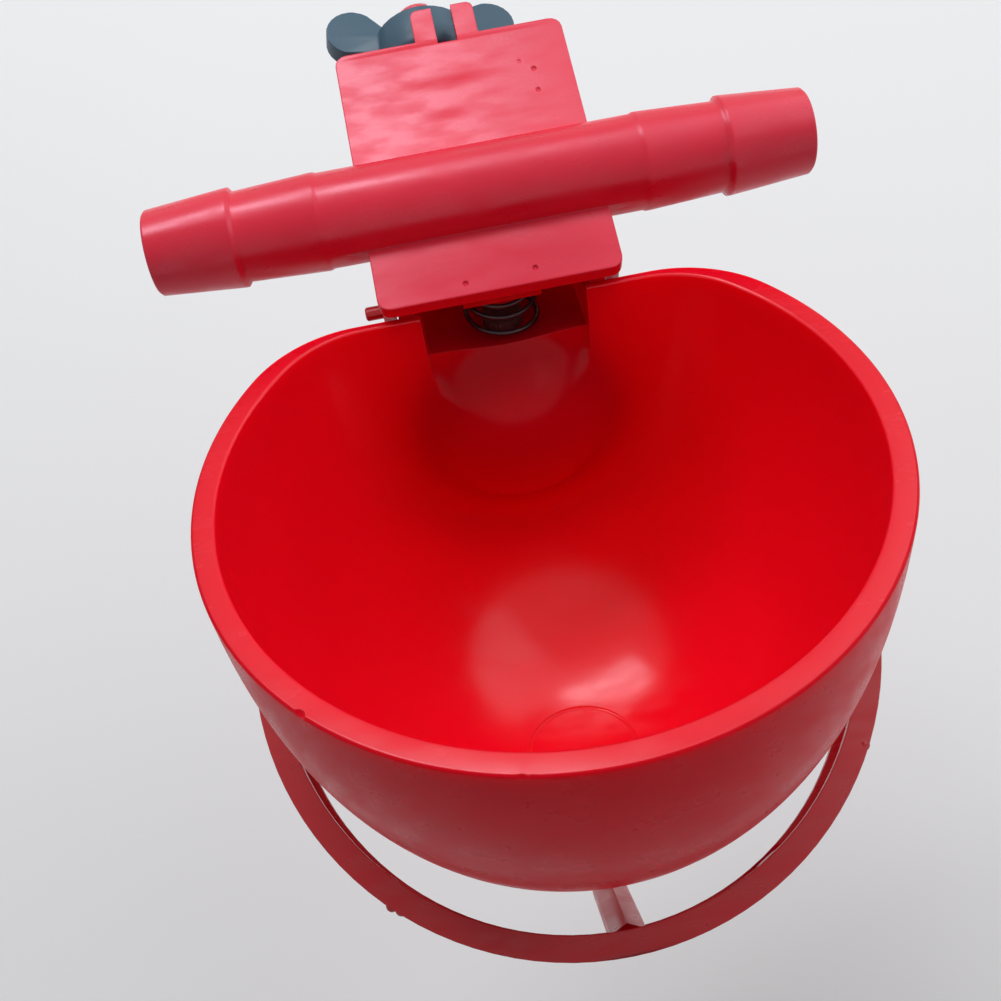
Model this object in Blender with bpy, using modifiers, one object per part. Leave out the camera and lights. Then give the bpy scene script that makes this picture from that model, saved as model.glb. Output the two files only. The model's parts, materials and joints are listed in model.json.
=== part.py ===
"""Poultry drinking cup that hangs on the wires of a cage.

A tee pipe feeds a valve under a flat cover plate. The bowl hangs on two hinge pins below the front edge
of the plate. A spring under the valve lifts the empty bowl's front. A full bowl sinks level, and the pad
on its tail closes the valve. A guard with two hoops and a spine stands fixed around the bowl.

Metres, +Z up, the front is -Y. The origin lies on the rear face that bears on the cage.
"""

import math

import bmesh
import bpy
from mathutils import Matrix

MM = 0.001
ASSEMBLY_NAME = "poultry_drinking_cup"
CUTTER_COLLECTION = "cutters"

# Clearances
SEAT_GAP = 0.3 * MM
CUT_EXTRA = 2.0 * MM
MERGE_DISTANCE = 0.01 * MM

# Edge rounding and shading
EDGE_SEGMENTS = 2
ROUNDED_EDGE_ANGLE = math.radians(50.0)
SMOOTH_ANGLE = math.radians(35.0)

# Cover plate of the housing
PLATE_WIDTH = 34.5 * MM
PLATE_DEPTH = 44.5 * MM
PLATE_THICKNESS = 2.3 * MM
PLATE_CORNER_RADIUS = 1.8 * MM
CORNER_STEPS = 4
PLATE_EDGE_ROUND = 0.35 * MM
PLATE_TOP_ABOVE_ORIGIN = 17.5 * MM

# Tee pipe with two hose barbs at each end
PIPE_BEHIND_FRONT = 16.6 * MM
PIPE_AXIS_DROP = 0.6 * MM
PIPE_HALF_LENGTH = 47.35 * MM
PIPE_BORE_RADIUS = 4.3 * MM
BARREL_RADIUS = 6.76 * MM
PIPE_END_RADIUS = 6.08 * MM
OUTER_BARB_RADIUS = 7.04 * MM
OUTER_BARB_X = 34.96 * MM
INNER_BARB_RADIUS = 6.95 * MM
INNER_BARB_X = 22.95 * MM
BARB_ROOT_RADIUS = 6.4 * MM
BARB_LIP = 0.5 * MM
PIPE_END_ROUND = 0.4 * MM
PIPE_SIDES = 48
BORE_SIDES = 32

# Rear wall that bears on the cage, with its gussets
REAR_WALL_THICKNESS = 3.0 * MM
REAR_WALL_HEIGHT = 25.0 * MM
GUSSET_THICKNESS = 2.0 * MM
GUSSET_INSET = 2.0 * MM
GUSSET_REACH = 10.0 * MM
GUSSET_HEIGHT = 14.0 * MM

# Prongs on both sides of the cage wire
PRONG_SPAN = 9.6 * MM
PRONG_REACH = 6.0 * MM
PRONG_CORNER_RADIUS = 1.1 * MM
PRONG_STEP = 0.1 * MM
PRONG_ROOT = 3.0 * MM
WIRE_SLOT_WIDTH = 3.0 * MM
WIRE_SLOT_DEPTH = 0.9 * MM
WIRE_SLOT_BELOW_PLATE = 1.5 * MM

# Threaded stud beside the wire, and the wing nut on it
STUD_OFFSET_X = -3.3 * MM
STUD_DROP = 10.5 * MM
STUD_RADIUS = 3.9 * MM
STUD_THREAD_DEPTH = 0.55 * MM
STUD_THREAD_PITCH = 1.9 * MM
STUD_REACH = 14.0 * MM
STUD_FLAT_START = 0.2 * MM
STUD_SIDES = 24
NUT_GAP_TO_WALL = 3.0 * MM
NUT_LENGTH = 7.2 * MM
NUT_RADIUS = 7.6 * MM
NUT_EDGE_ROUND = 0.8 * MM
NUT_RUNNING_GAP = 0.35 * MM
WING_REACH = 15.2 * MM
WING_LOBE_RADIUS = 4.2 * MM
WING_LOBE_BEHIND_NUT = 0.5 * MM
WING_ROOT_INSET = 2.0 * MM
WING_FRONT_INSET = 3.3 * MM
WING_ARC_START = math.radians(-70.0)
WING_ARC_END = math.radians(130.0)
WING_ARC_STEPS = 14
WING_THICKNESS = 3.0 * MM
WING_EDGE_ROUND = 0.9 * MM
NUT_TURN = math.radians(9.0)

# Hinge of the bowl
HINGE_BEHIND_FRONT = 3.7 * MM
HINGE_DROP = 6.23 * MM
PIN_RADIUS = 1.0 * MM
PIN_LENGTH = 7.0 * MM
PIN_PROUD = 2.2 * MM
PIN_END_ROUND = 0.25 * MM
LUG_THICKNESS = 2.05 * MM
LUG_FRONT_WALL = 0.65 * MM
LUG_INSET = 0.3 * MM
LUG_CORNER_RADIUS = 0.5 * MM
LUG_BACK_REACH = 3.8 * MM
LUG_DROP_BELOW_AXIS = 2.4 * MM
EAR_THICKNESS = 2.3 * MM
EAR_BORE_EXTRA = 0.5 * MM
EAR_RADIUS = 2.3 * MM
EAR_ROOT_DEPTH = 5.5 * MM
EAR_ARC_START = math.radians(-60.0)
EAR_ARC_END = math.radians(90.0)
EAR_STEPS = 10
SMALL_BORE_SIDES = 16

# Bowl, in its own frame: origin on the hinge axis, its rim plane level
BOWL_TILT = math.radians(22.1)
BOWL_SWING = math.radians(10.0)
BOWL_RADIUS = 44.3 * MM
BOWL_DEPTH = 64.5 * MM
BOWL_FULLNESS = 2.3
RIM_WIDTH = 3.08 * MM
RIM_EDGE_ROUND = 0.5 * MM
BOTTOM_WALL = 2.4 * MM
BACK_CHORD = 33.4 * MM
BACK_WALL = 1.3 * MM
BACK_CORNER_RADIUS = 18.0 * MM
BACK_CORNER_STEPS = 8
PLAN_ARC_STEPS = 48
BACK_TO_HINGE = 2.55 * MM
RIM_ABOVE_HINGE = 0.3 * MM
INNER_WALL_CUT = 0.1 * MM
BOWL_SIDES = 72
BOWL_RINGS = 18

# Valve recess in the bowl's back wall
RECESS_HALF_WIDTH = 11.9 * MM
RECESS_WALL = 1.3 * MM
RECESS_BACK = 10.9 * MM
RECESS_SIDE_TOP = 2.0 * MM
SHELF_DEPTH = 7.4 * MM
SHELF_THICKNESS = 1.8 * MM
SET_BACK = 1.0 * MM
SET_BACK_BOTTOM = 13.4 * MM
DOME_RADIUS = 12.2 * MM
DOME_WALL = 1.5 * MM
DOME_CENTRE_DEPTH = 17.3 * MM
DOME_CENTRE_BACK = 0.2 * MM
DOME_TOP_DEPTH = 5.9 * MM
DOME_RINGS = 16
DOME_SIDES = 32

# Valve nozzle, pad and spring
NOZZLE_BEHIND_FRONT = 5.9 * MM
NOZZLE_BODY_RADIUS = 3.6 * MM
NOZZLE_TAPER_RADIUS = 2.8 * MM
NOZZLE_TIP_RADIUS = 1.4 * MM
NOZZLE_BORE_RADIUS = 0.7 * MM
NOZZLE_TIP_DROP = 12.1 * MM
NOZZLE_TIP_LENGTH = 1.6 * MM
NOZZLE_TAPER_LENGTH = 2.3 * MM
NOZZLE_SEAT_DEPTH = 1.8 * MM
CHAMBER_RADIUS = 2.4 * MM
CHAMBER_HEIGHT = 2.0 * MM
VALVE_BLOCK_HALF_WIDTH = 5.6 * MM
VALVE_BLOCK_FRONT = 0.9 * MM
VALVE_BLOCK_DROP = 5.0 * MM
FEED_RADIUS = 0.8 * MM
PAD_BEHIND_BACK = 5.0 * MM
PAD_RADIUS = 3.0 * MM
PAD_THICKNESS = 1.5 * MM
PAD_SINK = 0.6 * MM
SPRING_WIRE_RADIUS = 0.45 * MM
SPRING_COIL_RADIUS = 4.75 * MM
SPRING_TURNS = 3.25
SPRING_FLAT_TURNS = 0.45
SPRING_POINTS_PER_TURN = 18
SPRING_WIRE_STEPS = 2
SPRING_START_ANGLE = math.radians(60.0)

# Guard: two hoops, posts, and the spine that carries them
GUARD_OVERHANG = 1.8 * MM
GUARD_CENTRE_BEFORE_FRONT = 41.05 * MM
GUARD_TOP_DROP = 30.0 * MM
UPPER_HOOP_WIDTH = 3.5 * MM
LOWER_HOOP_WIDTH = 2.2 * MM
LOWER_HOOP_OVERHANG = 0.15 * MM
HOOP_THICKNESS = 1.6 * MM
HOOP_SPACING = 7.8 * MM
HOOP_TANGENT_ANGLE = math.radians(12.0)
HOOP_REAR_BEHIND_FRONT = 10.0 * MM
HOOP_REAR_CORNER = 8.0 * MM
HOOP_ARC_STEPS = 60
POST_ANGLES = (math.radians(-60.0), math.radians(-120.0))
POST_WIDTH = 3.0 * MM
POST_THICKNESS = 1.6 * MM
SPINE_WIDTH = 5.0 * MM
SPINE_HEIGHT = 3.0 * MM
SPINE_RIDGE = 1.3 * MM
SPINE_BELOW_BOWL = 5.5 * MM
SPINE_FOOT_RISE = 10.5 * MM
SPINE_FRONT_RUN = 11.5 * MM
SPINE_HEEL_RUN = 10.0 * MM
SPINE_BEND_RADIUS = 7.0 * MM
SPINE_BEND_STEPS = 6
TONGUE_BEHIND_FRONT = 25.5 * MM
TONGUE_LENGTH = 8.0 * MM
SOCKET_WALL = 2.2 * MM
SOCKET_DROP = 12.0 * MM
TONGUE_STRAIGHT = 3.0 * MM
UPRIGHT_STRAIGHT = 3.0 * MM
TONGUE_THICKNESS = SPINE_HEIGHT + SPINE_RIDGE

# Places worked out from the sizes above
FRONT_Y = -PLATE_DEPTH
TOP_Z = PLATE_TOP_ABOVE_ORIGIN
PLATE_UNDERSIDE_Z = TOP_Z - PLATE_THICKNESS
PIPE_Y = FRONT_Y + PIPE_BEHIND_FRONT
PIPE_Z = TOP_Z - PIPE_AXIS_DROP
HINGE_Y = FRONT_Y + HINGE_BEHIND_FRONT
HINGE_Z = TOP_Z - HINGE_DROP
STUD_Z = TOP_Z - STUD_DROP
NOZZLE_Y = FRONT_Y + NOZZLE_BEHIND_FRONT
VALVE_BLOCK_Z = TOP_Z - VALVE_BLOCK_DROP
NOZZLE_SHOULDER_Z = VALVE_BLOCK_Z + NOZZLE_SEAT_DEPTH
LUG_OUTER_X = PLATE_WIDTH / 2
LUG_INNER_X = LUG_OUTER_X - LUG_THICKNESS
EAR_OUTER_X = LUG_INNER_X - SEAT_GAP
EAR_INNER_X = EAR_OUTER_X - EAR_THICKNESS
PIN_BORE_RADIUS = PIN_RADIUS + SEAT_GAP
BACK_FACE_Y = -BACK_TO_HINGE
BOWL_CENTRE_Y = BACK_FACE_Y - BACK_CHORD
BOWL_FLOOR = BOWL_DEPTH - BOTTOM_WALL
BOWL_MOUTH = BOWL_RADIUS - RIM_WIDTH
BOWL_BOTTOM_Z = RIM_ABOVE_HINGE - BOWL_DEPTH
SHELF_Z = RIM_ABOVE_HINGE - SHELF_DEPTH
PAD_Y = BACK_FACE_Y + PAD_BEHIND_BACK
GUARD_Y = FRONT_Y - GUARD_CENTRE_BEFORE_FRONT
GUARD_TOP_Z = TOP_Z - GUARD_TOP_DROP
GUARD_RADIUS = BOWL_RADIUS + GUARD_OVERHANG
TONGUE_Y = FRONT_Y + TONGUE_BEHIND_FRONT
TONGUE_TOP_Z = TOP_Z - SOCKET_DROP + TONGUE_LENGTH
SOCKET_Y = TONGUE_Y - SPINE_RIDGE / 2
HOOP_MIDDLE_RADIUS = GUARD_RADIUS - UPPER_HOOP_WIDTH / 2
HOOP_REAR_Y = FRONT_Y + HOOP_REAR_BEHIND_FRONT
STUD_ROOT_RADIUS = STUD_RADIUS - STUD_THREAD_DEPTH
NUT_FRONT_Y = NUT_GAP_TO_WALL
NUT_BACK_Y = NUT_FRONT_Y + NUT_LENGTH
NUT_BORE_RADIUS = STUD_RADIUS + NUT_RUNNING_GAP

RED = (0.62, 0.008, 0.016, 1.0)
BLUE_GREY = (0.075, 0.15, 0.19, 1.0)
BROWN = (0.22, 0.035, 0.03, 1.0)
RUBBER = (0.02, 0.02, 0.02, 1.0)
SPRING_STEEL = (0.03, 0.03, 0.032, 1.0)


def clear_scene():
    """Remove every object and collection that the scene starts with."""
    for item in list(bpy.data.objects):
        bpy.data.objects.remove(item, do_unlink=True)
    for group in list(bpy.data.collections):
        bpy.data.collections.remove(group)


def make_collection(name):
    """Add a collection to the scene."""
    group = bpy.data.collections.new(name)
    bpy.context.scene.collection.children.link(group)
    return group


def make_material(name, colour, roughness, metallic=0.0):
    """Make a Principled material."""
    material = bpy.data.materials.new(name)
    material.use_nodes = True
    shader = material.node_tree.nodes["Principled BSDF"]
    shader.inputs["Base Color"].default_value = colour
    shader.inputs["Roughness"].default_value = roughness
    shader.inputs["Metallic"].default_value = metallic
    return material


def new_object(name, mesh, group):
    """Link a mesh or curve to a collection as an object."""
    item = bpy.data.objects.new(name, mesh)
    group.objects.link(item)
    return item


def hide_as_cutter(item):
    """Mark an object as a construction shape."""
    item.hide_render = True
    item.display_type = "WIRE"
    return item


def rounded_corners(corners, radius, steps):
    """Replace each corner of a closed outline by an arc."""
    points = []
    count = len(corners)
    for index in range(count):
        points.extend(corner_arc(corners[index - 1], corners[index], corners[(index + 1) % count], radius, steps))
    return points


def rounded_path(corners, radius, steps):
    """Replace each inner corner of an open path by an arc."""
    points = [corners[0]]
    for index in range(1, len(corners) - 1):
        points.extend(corner_arc(corners[index - 1], corners[index], corners[index + 1], radius, steps))
    points.append(corners[-1])
    return points


def corner_arc(before, corner, after, radius, steps):
    """Points of the arc that rounds one corner."""
    to_before = (before[0] - corner[0], before[1] - corner[1])
    to_after = (after[0] - corner[0], after[1] - corner[1])
    length_before = math.hypot(*to_before)
    length_after = math.hypot(*to_after)
    unit_before = (to_before[0] / length_before, to_before[1] / length_before)
    unit_after = (to_after[0] / length_after, to_after[1] / length_after)
    cosine = unit_before[0] * unit_after[0] + unit_before[1] * unit_after[1]
    half_angle = math.acos(max(-1.0, min(1.0, cosine))) / 2
    setback = min(radius / math.tan(half_angle), length_before / 2, length_after / 2)
    true_radius = setback * math.tan(half_angle)
    bisector = (unit_before[0] + unit_after[0], unit_before[1] + unit_after[1])
    bisector_length = math.hypot(*bisector)
    centre_distance = true_radius / math.sin(half_angle)
    centre = (
        corner[0] + bisector[0] / bisector_length * centre_distance,
        corner[1] + bisector[1] / bisector_length * centre_distance,
    )
    start = (corner[0] + unit_before[0] * setback, corner[1] + unit_before[1] * setback)
    end = (corner[0] + unit_after[0] * setback, corner[1] + unit_after[1] * setback)
    start_angle = math.atan2(start[1] - centre[1], start[0] - centre[0])
    end_angle = math.atan2(end[1] - centre[1], end[0] - centre[0])
    sweep = (end_angle - start_angle + math.pi) % (2 * math.pi) - math.pi
    return [
        (
            centre[0] + true_radius * math.cos(start_angle + sweep * step / steps),
            centre[1] + true_radius * math.sin(start_angle + sweep * step / steps),
        )
        for step in range(steps + 1)
    ]


def curve_to_mesh_object(item, group):
    """Turn a curve object into a closed mesh object with the same place."""
    bpy.context.view_layer.update()
    depsgraph = bpy.context.evaluated_depsgraph_get()
    mesh = bpy.data.meshes.new_from_object(item.evaluated_get(depsgraph))
    mesh.name = item.name
    shape = bmesh.new()
    shape.from_mesh(mesh)
    bmesh.ops.remove_doubles(shape, verts=shape.verts, dist=MERGE_DISTANCE)
    bmesh.ops.recalc_face_normals(shape, faces=shape.faces)
    shape.to_mesh(mesh)
    shape.free()
    name = item.name
    place = item.matrix_world.copy()
    bpy.data.objects.remove(item, do_unlink=True)
    result = new_object(name, mesh, group)
    result.matrix_world = place
    return result


def flat_shape(name, outlines, thickness, group):
    """Extrude one or more closed outlines by a thickness, centred on its own plane."""
    curve = bpy.data.curves.new(name, "CURVE")
    curve.dimensions = "2D"
    curve.fill_mode = "BOTH"
    curve.extrude = thickness / 2
    for outline in outlines:
        spline = curve.splines.new("POLY")
        spline.points.add(len(outline) - 1)
        for point, place in zip(spline.points, outline):
            point.co = (place[0], place[1], 0.0, 1.0)
        spline.use_cyclic_u = True
    return curve_to_mesh_object(new_object(name, curve, group), group)


def turned_shape(name, profile, steps, group):
    """Turn a profile of (radius, height) points about Z into a solid."""
    mesh = bpy.data.meshes.new(name)
    points = [(radius, 0.0, height) for radius, height in profile]
    edges = [(index, index + 1) for index in range(len(points) - 1)]
    mesh.from_pydata(points, edges, [])
    item = new_object(name, mesh, group)
    screw = item.modifiers.new("turn", "SCREW")
    screw.axis = "Z"
    screw.angle = 2 * math.pi
    screw.steps = steps
    screw.render_steps = steps
    screw.use_merge_vertices = True
    screw.merge_threshold = MERGE_DISTANCE
    return item


def block(name, low, high, group):
    """Make a box between two corners."""
    shape = bmesh.new()
    bmesh.ops.create_cube(shape, size=1.0)
    for vertex in shape.verts:
        vertex.co = [low[axis] + (vertex.co[axis] + 0.5) * (high[axis] - low[axis]) for axis in range(3)]
    mesh = bpy.data.meshes.new(name)
    shape.to_mesh(mesh)
    shape.free()
    return new_object(name, mesh, group)


def rod(name, radius, start, end, sides, group):
    """Make a cylinder along X, Y or Z between two points."""
    spans = [end[axis] - start[axis] for axis in range(3)]
    length = math.sqrt(sum(span * span for span in spans))
    shape = bmesh.new()
    bmesh.ops.create_cone(
        shape, cap_ends=True, segments=sides, radius1=radius, radius2=radius, depth=length
    )
    if abs(spans[0]) > MERGE_DISTANCE:
        bmesh.ops.rotate(shape, verts=shape.verts, matrix=Matrix.Rotation(math.pi / 2, 3, "Y"))
    if abs(spans[1]) > MERGE_DISTANCE:
        bmesh.ops.rotate(shape, verts=shape.verts, matrix=Matrix.Rotation(math.pi / 2, 3, "X"))
    middle = [(start[axis] + end[axis]) / 2 for axis in range(3)]
    bmesh.ops.translate(shape, verts=shape.verts, vec=middle)
    mesh = bpy.data.meshes.new(name)
    shape.to_mesh(mesh)
    shape.free()
    return new_object(name, mesh, group)


def ball(name, radius, centre, group):
    """Make a sphere."""
    shape = bmesh.new()
    bmesh.ops.create_uvsphere(shape, u_segments=DOME_SIDES, v_segments=DOME_RINGS, radius=radius)
    bmesh.ops.translate(shape, verts=shape.verts, vec=centre)
    mesh = bpy.data.meshes.new(name)
    shape.to_mesh(mesh)
    shape.free()
    return new_object(name, mesh, group)


def combine(item, other, operation):
    """Add a Boolean modifier that joins, cuts or intersects."""
    hide_as_cutter(other)
    boolean = item.modifiers.new(other.name, "BOOLEAN")
    boolean.operation = operation
    boolean.solver = "EXACT"
    boolean.object = other


def round_edges(item, width):
    """Round the sharp edges of an object."""
    bevel = item.modifiers.new("rounded_edges", "BEVEL")
    bevel.width = width
    bevel.segments = EDGE_SEGMENTS
    bevel.limit_method = "ANGLE"
    bevel.angle_limit = ROUNDED_EDGE_ANGLE


def finish_piece(item, material):
    """Give a piece its material and smooth round faces."""
    item.data.materials.clear()
    item.data.materials.append(material)
    item.data.shade_smooth()
    item.data.set_sharp_from_angle(angle=SMOOTH_ANGLE)


def side_name(side):
    """Word for a side: -1 is left, 1 is right."""
    return "left" if side < 0 else "right"


def stand_in_side_plane(item, x):
    """Turn a flat shape so that its outline's (X, Y) become (Y, Z), at a distance x."""
    item.rotation_euler = (math.pi / 2, 0.0, math.pi / 2)
    item.location = (x, 0.0, 0.0)


def make_frame(name, place, group):
    """Add an empty that other objects are parented to."""
    frame = new_object(name, None, group)
    frame.matrix_world = place
    return frame


def bowl_point(y, z, swing=0.0):
    """World (y, z) of a point in the bowl's own frame, with its front lowered by swing."""
    angle = BOWL_TILT - swing
    return (
        HINGE_Y + y * math.cos(angle) + z * math.sin(angle),
        HINGE_Z - y * math.sin(angle) + z * math.cos(angle),
    )


def pipe_profile():
    """Half profile of the tee pipe, from one end to the other, with two barbs at each end."""
    upper = [
        (0.0, PIPE_HALF_LENGTH),
        (PIPE_END_RADIUS - PIPE_END_ROUND, PIPE_HALF_LENGTH),
        (PIPE_END_RADIUS, PIPE_HALF_LENGTH - PIPE_END_ROUND),
        (OUTER_BARB_RADIUS, OUTER_BARB_X + BARB_LIP),
        (OUTER_BARB_RADIUS, OUTER_BARB_X),
        (BARB_ROOT_RADIUS, OUTER_BARB_X - BARB_LIP),
        (INNER_BARB_RADIUS, INNER_BARB_X + BARB_LIP),
        (INNER_BARB_RADIUS, INNER_BARB_X),
        (BARREL_RADIUS, INNER_BARB_X - BARB_LIP),
    ]
    lower = [(radius, -height) for radius, height in reversed(upper)]
    return upper + lower


def build_pipe(group):
    """Tee pipe as a solid bar, still without its bore."""
    pipe = turned_shape("tee_pipe", pipe_profile(), PIPE_SIDES, group)
    pipe.rotation_euler = (0.0, math.pi / 2, 0.0)
    pipe.location = (0.0, PIPE_Y, PIPE_Z)
    return pipe


def build_plate(group):
    """Cover plate with rounded corners."""
    half = PLATE_WIDTH / 2
    corners = [(-half, FRONT_Y), (half, FRONT_Y), (half, 0.0), (-half, 0.0)]
    outline = rounded_corners(corners, PLATE_CORNER_RADIUS, CORNER_STEPS)
    plate = flat_shape("housing", [outline], PLATE_THICKNESS, group)
    plate.location = (0.0, 0.0, TOP_Z - PLATE_THICKNESS / 2)
    round_edges(plate, PLATE_EDGE_ROUND)
    return plate


def build_prongs(group):
    """Tab behind the plate, whose slot leaves a prong on each side of the wire."""
    half = PRONG_SPAN / 2
    corners = [(-half, -PRONG_ROOT), (half, -PRONG_ROOT), (half, PRONG_REACH), (-half, PRONG_REACH)]
    outline = rounded_corners(corners, PRONG_CORNER_RADIUS, CORNER_STEPS)
    thickness = PLATE_THICKNESS - PRONG_STEP
    tab = flat_shape("prongs", [outline], thickness, group)
    tab.location = (0.0, 0.0, TOP_Z - PRONG_STEP - thickness / 2)
    return tab


def build_rear_wall(group):
    """Wall under the plate's rear edge."""
    half = PLATE_WIDTH / 2 - SEAT_GAP
    return block(
        "rear_wall",
        (-half, -REAR_WALL_THICKNESS, TOP_Z - REAR_WALL_HEIGHT),
        (half, 0.0, TOP_Z - PLATE_THICKNESS / 2),
        group,
    )


def build_gusset(side, group):
    """Triangular rib between the plate and the rear wall."""
    top = TOP_Z - PLATE_THICKNESS / 2
    low = top - PLATE_THICKNESS / 2
    start = -REAR_WALL_THICKNESS / 2
    outline = [
        (start, top),
        (start - GUSSET_REACH, top),
        (start - GUSSET_REACH, low),
        (start, top - GUSSET_HEIGHT),
    ]
    rib = flat_shape("gusset_" + side_name(side), [outline], GUSSET_THICKNESS, group)
    stand_in_side_plane(rib, side * (PLATE_WIDTH / 2 - GUSSET_INSET - GUSSET_THICKNESS / 2))
    return rib


def stud_profile():
    """Profile of the stud with its thread drawn as turned ridges."""
    ridges = int((STUD_REACH - NUT_GAP_TO_WALL) / STUD_THREAD_PITCH)
    points = [(0.0, STUD_REACH), (STUD_ROOT_RADIUS, STUD_REACH)]
    for index in range(ridges):
        crest = STUD_REACH - (index + 0.5) * STUD_THREAD_PITCH
        points.append((STUD_RADIUS, crest))
        points.append((STUD_ROOT_RADIUS, crest - STUD_THREAD_PITCH / 2))
    points.append((STUD_ROOT_RADIUS, -REAR_WALL_THICKNESS / 2))
    points.append((0.0, -REAR_WALL_THICKNESS / 2))
    return points


def build_stud(group):
    """Threaded stud that stands out of the rear wall, beside the wire."""
    stud = turned_shape("stud", stud_profile(), STUD_SIDES, group)
    stud.rotation_euler = (-math.pi / 2, 0.0, 0.0)
    stud.location = (STUD_OFFSET_X, 0.0, STUD_Z)
    return stud


def build_lug(side, group):
    """Hinge lug that hangs under the plate's front corner."""
    front = HINGE_Y - PIN_BORE_RADIUS - LUG_FRONT_WALL
    back = HINGE_Y + LUG_BACK_REACH
    low = HINGE_Z - LUG_DROP_BELOW_AXIS
    high = TOP_Z - PLATE_THICKNESS / 2
    corners = [(front, low), (back, low), (back, high), (front, high)]
    outline = rounded_corners(corners, LUG_CORNER_RADIUS, CORNER_STEPS)
    thickness = LUG_THICKNESS - LUG_INSET
    lug = flat_shape("lug_" + side_name(side), [outline], thickness, group)
    stand_in_side_plane(lug, side * (LUG_INNER_X + thickness / 2))
    return lug


def build_valve_block(group):
    """Block between the pipe and the nozzle."""
    return block(
        "valve_block",
        (-VALVE_BLOCK_HALF_WIDTH, FRONT_Y + VALVE_BLOCK_FRONT, VALVE_BLOCK_Z),
        (VALVE_BLOCK_HALF_WIDTH, PIPE_Y, TOP_Z - PLATE_THICKNESS / 2),
        group,
    )


def build_guard_socket(group):
    """Boss behind the pipe that holds the guard's tongue."""
    half_x = SPINE_WIDTH / 2 + SEAT_GAP + SOCKET_WALL
    half_y = TONGUE_THICKNESS / 2 + SEAT_GAP + SOCKET_WALL
    return block(
        "guard_socket",
        (-half_x, SOCKET_Y - half_y, TOP_Z - SOCKET_DROP),
        (half_x, SOCKET_Y + half_y, TOP_Z - PLATE_THICKNESS / 2),
        group,
    )


def housing_cutters(group):
    """Bores, slot and socket of the housing."""
    reach = PIPE_HALF_LENGTH + CUT_EXTRA
    socket_x = SPINE_WIDTH / 2 + SEAT_GAP
    socket_y = TONGUE_THICKNESS / 2 + SEAT_GAP
    socket_top = TONGUE_TOP_Z + SEAT_GAP
    slot = WIRE_SLOT_WIDTH / 2
    lug_reach = LUG_OUTER_X + CUT_EXTRA
    feed_z = NOZZLE_SHOULDER_Z + CHAMBER_HEIGHT / 2
    return [
        rod("pipe_bore", PIPE_BORE_RADIUS, (-reach, PIPE_Y, PIPE_Z), (reach, PIPE_Y, PIPE_Z), BORE_SIDES, group),
        block(
            "wire_slot",
            (-slot, -WIRE_SLOT_DEPTH, PLATE_UNDERSIDE_Z - WIRE_SLOT_BELOW_PLATE),
            (slot, PRONG_REACH + CUT_EXTRA, TOP_Z + CUT_EXTRA),
            group,
        ),
        block(
            "stud_flat",
            (-slot, STUD_FLAT_START, STUD_Z - STUD_RADIUS - CUT_EXTRA),
            (STUD_RADIUS, STUD_REACH + CUT_EXTRA, STUD_Z + STUD_RADIUS + CUT_EXTRA / 2),
            group,
        ),
        rod(
            "left_pin_bore", PIN_BORE_RADIUS, (-lug_reach, HINGE_Y, HINGE_Z),
            (-LUG_INNER_X + CUT_EXTRA, HINGE_Y, HINGE_Z), SMALL_BORE_SIDES, group,
        ),
        rod(
            "right_pin_bore", PIN_BORE_RADIUS, (LUG_INNER_X - CUT_EXTRA, HINGE_Y, HINGE_Z),
            (lug_reach, HINGE_Y, HINGE_Z), SMALL_BORE_SIDES, group,
        ),
        block(
            "guard_socket_cavity",
            (-socket_x, SOCKET_Y - socket_y, TOP_Z - SOCKET_DROP - CUT_EXTRA),
            (socket_x, SOCKET_Y + socket_y, socket_top),
            group,
        ),
        rod(
            "nozzle_seat", NOZZLE_BODY_RADIUS + SEAT_GAP,
            (0.0, NOZZLE_Y, VALVE_BLOCK_Z - CUT_EXTRA),
            (0.0, NOZZLE_Y, NOZZLE_SHOULDER_Z), BORE_SIDES, group,
        ),
        rod(
            "valve_chamber", CHAMBER_RADIUS, (0.0, NOZZLE_Y, NOZZLE_SHOULDER_Z - CUT_EXTRA),
            (0.0, NOZZLE_Y, NOZZLE_SHOULDER_Z + CHAMBER_HEIGHT), BORE_SIDES, group,
        ),
        rod(
            "feed_drilling", FEED_RADIUS, (0.0, NOZZLE_Y, feed_z), (0.0, PIPE_Y, feed_z),
            SMALL_BORE_SIDES, group,
        ),
    ]


def build_housing(parts, cutters, material):
    """Plate, tee pipe, rear wall, lugs, stud and prongs in one moulding."""
    housing = build_plate(parts)
    additions = [
        build_pipe(cutters),
        build_rear_wall(cutters),
        build_gusset(-1, cutters),
        build_gusset(1, cutters),
        build_prongs(cutters),
        build_stud(cutters),
        build_lug(-1, cutters),
        build_lug(1, cutters),
        build_valve_block(cutters),
        build_guard_socket(cutters),
    ]
    for addition in additions:
        combine(housing, addition, "UNION")
    for cutter in housing_cutters(cutters):
        combine(housing, cutter, "DIFFERENCE")
    finish_piece(housing, material)
    return housing


def bowl_wall(radius, depth):
    """Half profile of a full, deep wall, from the rim's edge rounding down to the bottom."""
    points = []
    power = 2 / BOWL_FULLNESS
    for ring in range(BOWL_RINGS):
        angle = math.pi / 2 * ring / BOWL_RINGS
        points.append((radius * math.cos(angle) ** power, -depth * math.sin(angle) ** power))
    points[0] = (radius, -RIM_EDGE_ROUND)
    points.append((0.0, -depth))
    return points


def bowl_outer_profile():
    """Outer half profile of the bowl about its own axis, from the rim to the bottom."""
    return [(0.0, 0.0), (BOWL_RADIUS - RIM_EDGE_ROUND, 0.0)] + bowl_wall(BOWL_RADIUS, BOWL_DEPTH)


def bowl_inner_profile():
    """Inner half profile of the bowl, with a rounded mouth."""
    edge = BOWL_MOUTH + RIM_EDGE_ROUND
    return [(0.0, CUT_EXTRA), (edge, CUT_EXTRA), (edge, 0.0)] + bowl_wall(BOWL_MOUTH, BOWL_FLOOR)


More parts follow.
